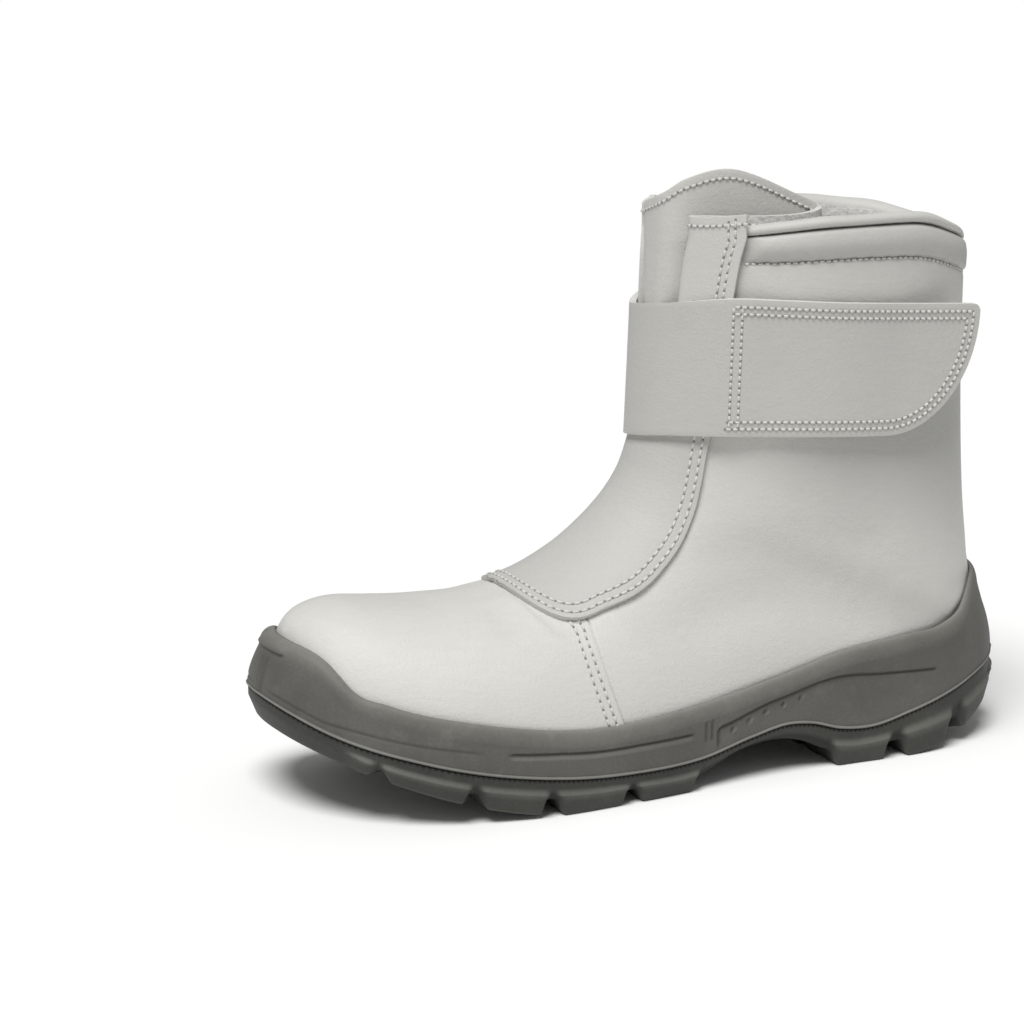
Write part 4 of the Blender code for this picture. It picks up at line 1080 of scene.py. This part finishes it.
# On the midsole's side, by place round the sole: a groove under the instep, two upright ticks, a panel set in
# ahead of the heel with its line running back, and a row of dots with short ribs in it
GROOVE_RISE, GROOVE_FALL, GROOVE_DEPTH, GROOVE_HALF = (-82.0, -79.0), (-7.5, -4.5), 0.7, 0.45
TOE_LINE_RISE, TOE_LINE_FALL, TOE_LINE_DEPTH = (-168.0, -160.0), (-96.0, -88.0), 0.3
SIDE_TICKS, TICK_DEPTH = (0.2, 2.6), 0.5
INSET_START, INSET_END, INSET_CORNER, INSET_DEPTH = 5.8, 103.0, 1.8, 0.8
SIDE_DOTS = (13.1, 20.4, 27.6, 35.3, 42.9)
DOT_DROP = 3.6
MOULD_RIDGE, MOULD_RIDGE_HALF = 0.5, 0.6
MOULD_SHADE, MOULD_SHADE_OFF, MOULD_SHADE_HALF = 0.3, 1.4, 0.5


def side_relief(cut, z, step_z, rib_z):
    """How far the midsole's side stands out of its plain curve; the cut keeps how dark it is there, painted
    shade in recesses and a painted highlight on raised marks.
    """
    along = cut.place
    toe_line = window(TOE_LINE_RISE, TOE_LINE_FALL, along) * bell(z - step_z, 0.5)
    in_groove = window(GROOVE_RISE, GROOVE_FALL, along)
    groove = in_groove * bell(z - step_z, GROOVE_HALF)
    bead = in_groove * bell(z - step_z + 1.3, 0.6)
    ticks = sum(bell(along - tick, 0.5) for tick in SIDE_TICKS)
    ticks = ticks * window((-4.0, -3.0), (5.0, 6.0), z - step_z)
    deep_x, deep_z = along - INSET_START, step_z - z
    corner = INSET_CORNER - np.hypot(INSET_CORNER - deep_x, INSET_CORNER - deep_z)
    in_corner = (deep_x < INSET_CORNER) & (deep_z < INSET_CORNER)
    inside = np.where(in_corner, corner, np.minimum(deep_x, deep_z))
    going = 1 - smooth_step(45.0, 90.0, along)
    inset = smooth_step(-0.35, 0.35, inside) * going * smooth_step(rib_z + 0.5, step_z, z)
    shown = (1 - smooth_step(INSET_END - 1.5, INSET_END, along)) * (along > INSET_START - 1)
    line = bell(inside, 0.45) * shown * smooth_step(rib_z, rib_z + 2.0, z)
    dots = sum(bell(np.hypot(along - dot, z - step_z + DOT_DROP), 0.7) for dot in SIDE_DOTS)
    pits = sum(bell(np.hypot(along - dot + 1.0, z - step_z + DOT_DROP - 0.7), 0.6) for dot in SIDE_DOTS)
    ribs = sum(bell(along - dot - 2.6, 0.5) for dot in SIDE_DOTS)
    ribs = ribs * window((-6.5, -5.5), (-2.5, -1.5), z - step_z)
    to_end = SOLE_END - abs(along)
    mould = bell(to_end, MOULD_RIDGE_HALF)
    # Each pattern with how far it stands out and how dark it is: painted shade, and a painted highlight where
    # below 0
    patterns = (
        (toe_line, -TOE_LINE_DEPTH, 0.35), (groove, -GROOVE_DEPTH, 0.9), (bead, 0.3, -0.4),
        (ticks, -TICK_DEPTH, 0.5), (inset, -INSET_DEPTH, 0.0), (line, -0.7, 1.1), (dots, 0.8, -0.7),
        (pits, -0.5, 1.2), (ribs, 0.35, 0.0), (mould, MOULD_RIDGE, 0.0),
    )
    cut.dark = np.clip(sum(dark * pattern for pattern, _, dark in patterns), -1, 1)
    cut.dark = cut.dark + MOULD_SHADE * bell(to_end - MOULD_SHADE_OFF, MOULD_SHADE_HALF)
    return sum(out * pattern for pattern, out, _ in patterns)


def midsole_profile(cut):
    """From the middle of the cup's floor up its wall, over the lip and down the side to the parting line."""
    floor_edge = cut.edge + CUP_GAP
    profile = []
    for share in (0.0, 0.5, 0.85, 1.0):
        profile.append((share * floor_edge, lasting_height(cut.x(share * floor_edge)) - FLOOR_DROP))
    for share in (0.0, 0.25, 0.5, 0.75):
        z = cut.edge_z + share * (cut.rim_z - 1.0 - cut.edge_z)
        profile.append((cut.wall(z) + CUP_GAP, z))
    rim_wall = cut.wall(cut.rim_z)
    tab = 1 - smooth_step(*TOE_TAB_RUN, cut.place + SOLE_END)
    for out, up in RIM_LIP:
        thick = tab * TOE_TAB_OUT * smooth_step(-3.2, -2.4, up) * smooth_step(0.4, 1.7, out)
        swell = TOE_SWELL * bell(cut.place + SOLE_END, TOE_SWELL_REACH) * smooth_step(1.0, 3.8, out)
        profile.append((rim_wall + out + float(thick + swell), cut.rim_z + up))
    lip_radius, lip_z = profile[-1]
    parting_z = float(PARTING.at("z", cut.x(cut.foot))) + PARTING_GAP
    rib_z = parting_z + RIB_TALL
    step_z = float(np.clip(SIDE_STEP.at("z", cut.place), rib_z + STEP_OVER_RIB, lip_z - STEP_UNDER_LIP))
    z = np.concatenate((np.linspace(lip_z, step_z + 1.3, 10)[1:], step_z + np.array((0.8, 0.4, 0.0, -0.4)),
                        np.linspace(step_z - 0.8, rib_z, 10)))
    part = np.clip((lip_z - z) / (lip_z - parting_z), 0, 1)
    radius = lip_radius + (cut.foot - lip_radius) * np.sin(0.5 * np.pi * part)
    radius += side_relief(cut, z, step_z, rib_z) * smooth_step(lip_z, lip_z - 2.0, z)
    profile += list(zip(radius, z))
    rib = ((0.0, 0.3), (0.7, 0.55), (1.0, 0.95), (0.8, 1.35))
    profile += [(cut.foot + out * RIB_OUT, rib_z - down) for out, down in rib]
    profile.append((cut.foot + 0.1, parting_z))
    for share in (0.97, 0.5, 0.0):
        profile.append((share * cut.foot, float(PARTING.at("z", cut.x(share * cut.foot))) + PARTING_GAP))
    return profile


# Painted highlights on the edges, painted shade in the grooves, and the dotted line, point by point of the
# sole's profiles
MIDSOLE_HIGHLIGHT = (
    *(0,) * 8, 0.0, 0.25, 0.45, 0.45, 0.35, 0.28, 0.22, 0.18, 0.14, 0.1, 0.05, *(0,) * 23,
    -0.1, 0.35, 0.55, 0.35, 0.0, *(0,) * 3,
)
MIDSOLE_SIDE, TOE_TAB_ROW, TOE_TAB_SHADE = slice(19, 42), 16, 0.8
MIDSOLE_GROOVE_SHADE = (*(0,) * 8, 0.8, 0.3, *(0,) * 9, *(0,) * 23, 0.2, 0, 0, 0.2, 0.9, *(0,) * 3)


def tread_height(x):
    """Height of the lugs' lower faces: flat under ball and heel, sprung at the toe, bevelled at the heel."""
    toe = np.clip((TOE_SPRING_X - x) / (TOE_SPRING_X - TOE_SPRING_END), 0, None) ** TOE_SPRING_POWER
    heel = np.clip((x - HEEL_BEVEL_X) / (HEEL_BEVEL_END - HEEL_BEVEL_X), 0, None) ** HEEL_BEVEL_POWER
    return float(toe * TOE_SPRING + heel * HEEL_BEVEL)


def lug_share(place, spread=0.0):
    """1 on a lug, 0 in a gap, with rounded end walls between; spread makes the lugs longer."""
    inside = [min(place - start, end - place) for start, end in LUGS]
    return float(smooth_step(-LUG_DRAFT, 0.5, max(inside) + spread))


def outsole_profile(cut):
    """From the parting face's middle outwards, down the side and over the lugs to the middle of the tread."""
    lug_on = lug_share(cut.place)

    def parting(radius):
        return float(PARTING.at("z", cut.x(radius))) - PARTING_GAP

    def base(radius):
        return min(float(TREAD_BASE.at("z", cut.x(radius))), parting(radius) - WEB_THICKNESS)

    def lug(radius):
        low = min(tread_height(cut.x(radius)), base(radius) - LUG_LEAST_DEPTH)
        return blend(base(radius), low, lug_on)

    side = cut.foot - OUTSOLE_INSET
    behind_toe = float(smooth_step(*TOE_PIECE_BLEND, cut.place))
    proud = LUG_PROUD * behind_toe
    ledge = side + blend(GAP_LEDGE, proud, lug_share(cut.place, LUG_LEDGE_SPREAD))
    foot = side - blend(GAP_SLOPE, blend(TOE_PIECE_SLOPE, LUG_SLOPE, behind_toe), lug_on)
    inner = max(cut.foot - LUG_DEPTH_IN, CENTRE_LUG_HALF + CENTRE_LUG_CLEAR)
    centre = lug if FAN_TOE_X < cut.place < FAN_HEEL_X else base
    deep = parting(side) - base(side)
    low = lug(foot)
    ledge_z = base(side) + LEDGE_HEIGHT * deep
    profile = [(0.0, parting(0.0)), (0.5 * cut.foot, parting(0.5 * cut.foot)), (side - 0.5, parting(side)),
               (side, parting(side) - 0.3), (side, parting(side) - 0.65), (side, parting(side) - 1.0)]
    profile += [(side, base(side) + share * deep) for share in (0.7, 0.6)]
    swell = ((0.15, 0.52), (0.6, 0.42), (0.95, 0.33))
    profile += [(blend(side, ledge, share), base(side) + up * deep) for share, up in swell]
    profile.append((ledge, ledge_z))
    profile += [(blend(ledge, foot, share), blend(ledge_z, low, share)) for share in (0.3, 0.6, 0.85)]
    profile += [(foot - 0.25, blend(ledge_z, low, 0.96)), (foot - 0.9, low)]
    profile += [(blend(foot, inner, share), lug(blend(foot, inner, share))) for share in (0.25, 0.5, 0.75)]
    profile += [(inner + 0.4, lug(inner)), (inner - 0.2, blend(lug(inner), base(inner), 0.15)),
                (inner - LUG_DRAFT, base(inner)), (CENTRE_LUG_HALF + LUG_DRAFT, base(CENTRE_LUG_HALF)),
                *((share * CENTRE_LUG_HALF, centre(share * CENTRE_LUG_HALF)) for share in (1.0, 0.5, 0.0))]
    return profile


OUTSOLE_HIGHLIGHT = (0, 0, 0, 0.1, 0, 0, 0, 0.05, 0.25, 0.5, 0.55, 0.3, *(0.05,) * 3, 0.2, 0.1, *(0,) * 10)
OUTSOLE_DOTTED = (0, 0, 0, 0.7, 1, *(0,) * 22)
OUTSOLE_GAP = (*(0,) * 8, 0.2, 0.5, 0.8, *(1,) * 10, *(0.5,) * 6)
OUTSOLE_GAP_SHADE = 0.5


def insole_profile(cut):
    """From the middle of the top face over the edge to the middle of the underside."""
    edge = cut.wall(cut.edge_z + INSOLE_THICKNESS) - QUARTER_THICKNESS - INSOLE_EDGE_GAP
    profile = []
    for radius in (0.0, 0.3 * edge, 0.6 * edge, 0.9 * edge, edge - INSOLE_ROUND):
        profile.append((radius, lasting_height(cut.x(radius)) + INSOLE_THICKNESS))
    profile.append((edge, lasting_height(cut.x(edge)) + INSOLE_THICKNESS - INSOLE_ROUND))
    for radius in (edge - 1.0, 0.55 * edge, 0.0):
        profile.append((radius, lasting_height(cut.x(radius)) + INSOLE_LIFT))
    return profile


def ring_grid(cuts, profile_of):
    """Rows of profiles round the sole, closed."""
    rows = [cut.points(profile_of(cut)) for cut in cuts]
    return np.array(rows + rows[:1])


def per_row(cuts, pattern):
    """The same values on each row of a ring."""
    return np.broadcast_to(np.array(pattern, float), (len(cuts) + 1, len(pattern)))


# Stitches

def even_places(points, normals, pitch):
    """Evenly spaced places along a line of points, with its direction and the surface's normal there."""
    lengths = run_along(points)
    where = np.arange(0.5 * pitch, lengths[-1], pitch)

    def read(values):
        return np.stack([np.interp(where, lengths, values[:, axis]) for axis in range(3)], -1)

    return read(points), unit(read(np.gradient(points, axis=0))), read(normals)


def bead_mesh(name, kind):
    """A small ball of one material, to be stretched into a stitch or a needle hole."""
    bm = bmesh.new()
    bmesh.ops.create_uvsphere(bm, u_segments=7, v_segments=5, radius=1.0)
    for face in bm.faces:
        face.material_index = kind
        face.smooth = True
    mesh = bpy.data.meshes.new(name)
    bm.to_mesh(mesh)
    bm.free()
    return mesh


def bead_object(name, lines, settings, slot):
    """Threads, and dark discs painted as the shade of the needle holes, along lines of points and normals,
    joined into one mesh.
    """
    sewn = bmesh.new()
    beads = [bead_mesh(name + "_bead", kind) for kind in (0, 1)]
    for line, normals, coarse in lines:
        pitch = (settings.seam_pitch if coarse else settings.stitch_pitch) / MM
        where, along, out = even_places(line, normals, pitch)
        across = np.cross(out, along)
        threads = (THREAD_SHARE * pitch, *THREAD_SIZE), THREAD_LIFT, 0.0
        holes = HOLE_SIZE, HOLE_LIFT, 0.5 * pitch
        for bead, (size, lift, move) in zip(beads, (threads, holes)):
            places = to_frame(where + along * move + out * lift)
            axes = np.stack((along * size[0], across * size[1], out * size[2]), -1) * MM
            for place, turn in zip(places, axes):
                matrix = Matrix(turn.tolist()).to_4x4()
                matrix.translation = place
                bead.transform(matrix)
                sewn.from_mesh(bead)
                bead.transform(matrix.inverted())
    for bead in beads:
        bpy.data.meshes.remove(bead)
    piece = finished(sewn, name, (thread("white thread", settings.thread_colour),
                                  thread("needle hole", settings.hole_shade_colour)))
    belongs(piece, slot)


# Each line of stitches: points, normals, and whether its stitches are the coarse ones

def wall_line(section, around, side, offset_of, creases):
    offset = offset_of(section, around, side, creases)
    return on_wall(section, around, side, offset), upper_normal(section, around, side)


def seam_lines(side, creases):
    """Two rows on the vamp beside its rear edge, from the front panel to the sole."""
    lines = []
    small = 0.1
    for inset in SEAM_STITCH_INSETS:
        around = np.linspace(*SEAM_STITCH_RUN, 90)
        edge = seam_section(around)
        step = upper_point(edge, around, side) - upper_point(edge - small, around, side)
        pace = np.linalg.norm(step, axis=-1) / small
        lines.append((*wall_line(edge - inset / pace, around, side, vamp_offset, creases), True))
    return lines


def band_line(side, creases):
    """A row in the padded band's lower seam."""
    first = around_at(BAND_START, panel_half_width(BAND_START) + BAND_STITCH_START, side)
    around = np.linspace(float(first), 1.0, 160)
    return (*wall_line(band_start(around) - BAND_STITCH_DROP, around, side, quarter_offset, creases), False)


def panel_lines(side):
    """Two rows inside the front panel's edge, on its outer face."""
    lines = []
    for inset, high_inset in PANEL_STITCH_INSETS:
        tip = PANEL_TIP + inset / CREST_MM_PER_SECTION
        sections = np.concatenate((tip + (PANEL_SHOULDER - tip) * np.linspace(0, 1, 60) ** 2,
                                   np.linspace(PANEL_SHOULDER, PANEL_STITCH_END, 200)[1:]))
        insets = blend(inset, high_inset, smooth_step(*PANEL_WELT_RISE, sections))
        around = np.array([around_at(s, panel_half_width(s, i), side) for s, i in zip(sections, insets)])
        normals = upper_normal(sections, around, side)
        lift = PANEL_SEAT_GAP + PANEL_THICKNESS
        line = upper_point(sections, around, side) + lift * normals
        hem = line[-1] + np.linspace(0, 1, 8)[1:, None] * (0, 0, HEM_HEIGHT - 1.0)
        hem_normals = np.repeat(normals[-1:], len(hem), axis=0)
        lines.append((np.concatenate((line, hem)), np.concatenate((normals, hem_normals)), True))
    return lines


def hem_lines(grid):
    """A row under the front panel's hem, on both faces of its sheet."""
    normals = grid_normals(grid)
    line, out = [], []
    for column in range(grid.shape[1]):
        points = grid[::-1][:HEM_STITCH_ROWS, column]
        drop = run_along(points)
        line.append([np.interp(HEM_STITCH_DROP, drop, points[:, axis]) for axis in range(3)])
        out.append(normals[HEM_NORMAL_ROW, column])
    line, out = np.array(line), np.array(out)
    return [(line + 0.5 * PANEL_THICKNESS * face, face, False) for face in (out, -out)]


def strap_lines(strap):
    """Double rows along the strap's edges, two upright rows, and the sewn end's box and cross."""
    flat = [strap.outline(STRAP_FRONT_STITCHES[0], inset) for inset in STRAP_STITCH_INSETS]
    for run in STRAP_FRONT_STITCHES:
        flat.append(np.array(((run, strap.top(run) - STRAP_FRONT_STITCH_INSET),
                              (run, strap.bottom(run) + STRAP_FRONT_STITCH_INSET))))
    left, right = STRAP_BOX
    low, high = strap.bottom(left) + STRAP_BOX_INSET, strap.top(left) - STRAP_BOX_INSET
    flat.append(np.array(((left, low), (right, low), (right, high), (left, high), (left, low))))
    flat.append(np.array(((left, low), (right, high))))
    flat.append(np.array(((left, high), (right, low))))
    lines = []
    for line in flat:
        dense = []
        for first, second in zip(line[:-1], line[1:]):
            count = max(2, int(np.hypot(*(second - first)) / STRAP_LINE_STEP))
            dense.append(np.linspace(first, second, count)[:-1])
        run, z = np.concatenate(dense + [line[-1:]]).T
        out = strap.normal(run, z)
        lines.append((strap.point(run, z) + STRAP_THICKNESS * out, out, False))
    return lines


# Settings, operators and panel

def tint(name, description, red, green, blue):
    """A colour property whose default is a display colour."""
    return bpy.props.FloatVectorProperty(name=name, description=description, subtype="COLOR",
                                         default=colour(red, green, blue), min=0.0, max=1.0)


class BootSettings(bpy.types.PropertyGroup):
    """Sizes of the boot's finer details, and its colours"""

    crease_depth: bpy.props.FloatProperty(
        name="Crease depth", description="Depth of the upper's creases as a share of their own", default=1.0)
    stitch_pitch: bpy.props.FloatProperty(
        name="Stitch pitch", description="Distance from stitch to stitch on strap and collar",
        default=0.0025, unit="LENGTH")
    seam_pitch: bpy.props.FloatProperty(
        name="Seam pitch", description="Distance from stitch to stitch on vamp and front panel",
        default=0.0033, unit="LENGTH")
    sole_spacing: bpy.props.FloatProperty(
        name="Sole spacing", description="Distance between the cuts through the sole",
        default=0.0009, unit="LENGTH")
    upper_colour: tint("Upper", "Brightest white of the vamp and quarters", 221, 220, 215)
    # Painted shade: front panel, strap and collar are darker copies of the upper's microfibre white, standing
    # in for less light on them
    panel_shaded_colour: tint("Front panel", "Brightest white of the front panel", 217, 216, 211)
    strap_shaded_colour: tint("Strap", "Brightest white of the strap", 205, 204, 199)
    collar_shaded_colour: tint("Collar", "Brightest white of the collar roll", 214, 213, 208)
    lining_colour: tint("Lining", "Brightest white of the fleece", 240, 239, 235)
    edge_colour: tint("Cut edge", "White of the cut edges", 228, 227, 222)
    midsole_dark: tint("Midsole grooves", "Darkest grey of the midsole", 66, 65, 61)
    midsole_light: tint("Midsole edges", "Palest grey of the midsole", 140, 139, 133)
    outsole_dark: tint("Outsole grooves", "Darkest grey of the outsole", 30, 31, 27)
    outsole_light: tint("Outsole edges", "Palest grey of the outsole", 106, 106, 100)
    felt_colour: tint("Insole", "Brightest tone of the insole's felt", 206, 203, 194)
    thread_colour: tint("Thread", "Brightest white of the thread", 228, 227, 222)
    # Needle holes are grey discs: painted shade
    hole_shade_colour: tint("Needle hole", "Grey of the needle holes", 150, 148, 143)


class StageSettings(bpy.types.PropertyGroup):
    """Light and camera of the studio"""

    key_strength: bpy.props.FloatProperty(
        name="Key light", description="Strength of the soft light from above the toe", default=2.9)
    key_softness: bpy.props.FloatProperty(
        name="Key softness", description="Angle that the key light spreads over",
        default=0.5, subtype="ANGLE")
    ambient: bpy.props.FloatProperty(
        name="Surroundings", description="Brightness of the white surroundings", default=0.28)
    floor_colour: tint("Floor", "White of the floor", 250, 250, 249)
    lens: bpy.props.FloatProperty(
        name="Lens", description="Focal length in millimetres on a 36 mm sensor", default=96.96)


class BOOT_OT_upper(bpy.types.Operator):
    """Make the vamp and the quarters of the upper"""

    bl_idname = "boot.upper"
    bl_label = "Upper"

    def execute(self, context):
        settings = context.scene.boot_settings
        creases = settings.crease_depth
        materials = sheet_materials(settings, "upper microfibre", settings.upper_colour)
        # The vamp and quarters carry their painted shade in a mesh attribute
        grid, painted_shade = vamp_grid(creases)
        vamp = grid_object("vamp", [grid], materials, {"painted_shade": [painted_shade]})
        thicken(vamp, VAMP_THICKNESS, -1, VAMP_ROUND)
        halves, painted_shades = zip(*(quarter_grid(side, creases) for side in (LATERAL, MEDIAL)))
        quarters = grid_object("quarters", halves, materials, {"painted_shade": painted_shades})
        thicken(quarters, QUARTER_THICKNESS, -1, QUARTER_ROUND)
        for piece, grids in ((vamp, [grid]), (quarters, halves)):
            belongs(piece, "upper", "upper")
            width, length, area = grid_size(grids)
            if len(grids) == 2:
                width *= 2
        return {"FINISHED"}


class BOOT_OT_front_panel(bpy.types.Operator):
    """Make the folded bellows front"""

    bl_idname = "boot.front_panel"
    bl_label = "Front panel"

    def execute(self, context):
        settings = context.scene.boot_settings
        grid = panel_grid()
        materials = sheet_materials(settings, "panel microfibre", settings.panel_shaded_colour)
        shade = PANEL_SHADE * (1 - smooth_step(*PANEL_SHADE_END, grid[..., 2]))
        panel = grid_object("front_panel_sheet", [grid], materials, {"painted_shade": [shade]})
        thicken(panel, PANEL_THICKNESS, 0, PANEL_ROUND)
        belongs(panel, "front_panel", "front_panel")
        return {"FINISHED"}


class BOOT_OT_collar(bpy.types.Operator):
    """Make the padded collar roll"""

    bl_idname = "boot.collar"
    bl_label = "Collar"

    def execute(self, context):
        settings = context.scene.boot_settings
        grid = roll_grid()
        split = round(ROLL_FLEECE_FROM * (grid.shape[1] - 1))
        materials = sheet_materials(settings, "collar microfibre", settings.collar_shaded_colour)[:2]
        roll = grid_object("collar_roll", [grid[:, :split + 1], grid[:, split:]], materials,
                           closed=True, kinds=(0, 1))
        belongs(roll, "collar_lining", "collar_lining")
        return {"FINISHED"}


class BOOT_OT_strap(bpy.types.Operator):
    """Make the closing strap"""

    bl_idname = "boot.strap"
    bl_label = "Strap"

    def execute(self, context):
        settings = context.scene.boot_settings
        grid = Strap().grid()
        materials = sheet_materials(settings, "strap microfibre", settings.strap_shaded_colour)
        strap = grid_object("closing_strap", [grid], materials)
        thicken(strap, STRAP_THICKNESS, 0, STRAP_ROUND)
        belongs(strap, "strap", "strap")
        return {"FINISHED"}


class BOOT_OT_sole(bpy.types.Operator):
    """Make the midsole, outsole and insole"""

    bl_idname = "boot.sole"
    bl_label = "Sole"

    def execute(self, context):
        settings = context.scene.boot_settings
        places = np.linspace(-SOLE_END, SOLE_END, int(2 * SOLE_END * MM / settings.sole_spacing))
        cuts = ring_of_cuts(last_tree(), places)
        ring = cuts + cuts[:1]
        where = np.array([cut.place for cut in ring])
        grid = ring_grid(cuts, midsole_profile)
        # Painted shade in the midsole's grooves and recesses and under the toe's tab; painted highlight on
        # its edges
        groove = per_row(cuts, MIDSOLE_GROOVE_SHADE).copy()
        groove[:, MIDSOLE_SIDE] = [cut.dark for cut in ring]
        groove[:, TOE_TAB_ROW] += TOE_TAB_SHADE * (1 - smooth_step(*TOE_TAB_RUN, where + SOLE_END))
        values = {"edge": [per_row(cuts, MIDSOLE_HIGHLIGHT)], "groove": [groove]}
        foam = polyurethane("midsole polyurethane", settings.midsole_dark, settings.midsole_light)
        midsole = grid_object("midsole_cup", [grid], (foam,), values, closed=True)
        belongs(midsole, "midsole", "midsole")
        grid = ring_grid(cuts, outsole_profile)
        gaps = np.array([[1 - lug_share(place, LUG_LEDGE_SPREAD)] for place in where])
        ledges = smooth_step(*TOE_PIECE_BLEND, where)[:, None]
        # Painted highlight on the lugs' ledges, painted shade in the gaps between them
        values = {
            "edge": [per_row(cuts, OUTSOLE_HIGHLIGHT) * (1 - gaps) * ledges],
            "dotted": [per_row(cuts, OUTSOLE_DOTTED)],
            "groove": [OUTSOLE_GAP_SHADE * gaps * per_row(cuts, OUTSOLE_GAP)],
            "place": [np.repeat(where[:, None], grid.shape[1], axis=1)],
        }
        dense = polyurethane("outsole polyurethane", settings.outsole_dark, settings.outsole_light)
        outsole = grid_object("outsole_tread", [grid], (dense,), values, closed=True)
        belongs(outsole, "outsole", "outsole")
        grid = ring_grid(cuts[::4], insole_profile)
        insole = grid_object("insole_felt", [grid], (fleece("felt", settings.felt_colour),), closed=True)
        belongs(insole, "insole", "insole")
        return {"FINISHED"}


class BOOT_OT_stitches(bpy.types.Operator):
    """Sew the seams"""

    bl_idname = "boot.stitches"
    bl_label = "Stitches"

    def execute(self, context):
        settings = context.scene.boot_settings
        creases = settings.crease_depth
        upper, panel = [], []
        for side in (LATERAL, MEDIAL):
            upper += seam_lines(side, creases)
            upper.append(band_line(side, creases))
            panel += panel_lines(side)
        panel += hem_lines(panel_grid())
        bead_object("upper_stitches", upper, settings, "upper")
        bead_object("panel_stitches", panel, settings, "front_panel")
        bead_object("strap_stitches", strap_lines(Strap()), settings, "strap")
        return {"FINISHED"}


# Half of the floor in metres, the camera's sensor and place in millimetres, where camera and key light point
FLOOR_HALF, SENSOR_WIDTH = 0.7, 36.0
CAMERA_PLACE = (-458.4, -907.5, 321.6)
CAMERA_FORWARD = (0.3971, 0.8919, -0.2164)
KEY_DIRECTION = (0.34, 0.36, -1.0)


class BOOT_OT_stage(bpy.types.Operator):
    """Set up the floor, the light and the camera"""

    bl_idname = "boot.stage"
    bl_label = "Stage"

    def execute(self, context):
        settings = context.scene.stage_settings
        bm = bmesh.new()
        bmesh.ops.create_grid(bm, x_segments=8, y_segments=8, size=FLOOR_HALF)
        floor = finished(bm, "studio_floor", (paper("studio paper", settings.floor_colour),))
        sun = bpy.data.lights.new("key light", "SUN")
        sun.energy = settings.key_strength
        sun.angle = settings.key_softness
        key = bpy.data.objects.new("key light", sun)
        key.rotation_euler = Vector(KEY_DIRECTION).to_track_quat("-Z", "Y").to_euler()
        context.collection.objects.link(key)
        world = bpy.data.worlds.new("studio")
        context.scene.world = world
        world.use_nodes = True
        tree = world.node_tree
        seen = Wire(tree).add("ShaderNodeLightPath", {}, {}, "Is Camera Ray")
        strength = seen * (1.0 - settings.ambient) + settings.ambient
        tree.links.new(strength.socket, tree.nodes["Background"].inputs["Strength"])
        tree.nodes["Background"].inputs["Color"].default_value = (1.0, 1.0, 1.0, 1.0)
        data = bpy.data.cameras.new("camera")
        data.lens = settings.lens
        data.sensor_width = SENSOR_WIDTH
        camera = bpy.data.objects.new("camera", data)
        camera.location = Vector(CAMERA_PLACE) * MM
        camera.rotation_euler = Vector(CAMERA_FORWARD).to_track_quat("-Z", "Y").to_euler()
        context.collection.objects.link(camera)
        context.scene.camera = camera
        context.scene.view_settings.view_transform = "Standard"
        return {"FINISHED"}


OPERATORS = (BOOT_OT_upper, BOOT_OT_front_panel, BOOT_OT_collar, BOOT_OT_strap, BOOT_OT_sole,
             BOOT_OT_stitches, BOOT_OT_stage)


class BOOT_PT_panel(bpy.types.Panel):
    """Lists the boot's operators"""

    bl_idname = "BOOT_PT_panel"
    bl_label = "Cold storage boot"
    bl_space_type = "VIEW_3D"
    bl_region_type = "UI"
    bl_category = "Boot"

    def draw(self, context):
        for group in (context.scene.boot_settings, context.scene.stage_settings):
            for name in group.__annotations__:
                self.layout.prop(group, name)
        for operator in OPERATORS:
            self.layout.operator(operator.bl_idname)


CLASSES = (BootSettings, StageSettings, *OPERATORS, BOOT_PT_panel)


def register():
    for each in CLASSES:
        bpy.utils.register_class(each)
    bpy.types.Scene.boot_settings = bpy.props.PointerProperty(type=BootSettings)
    bpy.types.Scene.stage_settings = bpy.props.PointerProperty(type=StageSettings)


def unregister():
    del bpy.types.Scene.stage_settings
    del bpy.types.Scene.boot_settings
    for each in reversed(CLASSES):
        bpy.utils.unregister_class(each)


def main():
    register()
    bpy.ops.boot.upper()
    bpy.ops.boot.front_panel()
    bpy.ops.boot.collar()
    bpy.ops.boot.strap()
    bpy.ops.boot.sole()
    bpy.ops.boot.stitches()
    bpy.ops.boot.stage()


if __name__ == "__main__":
    main()
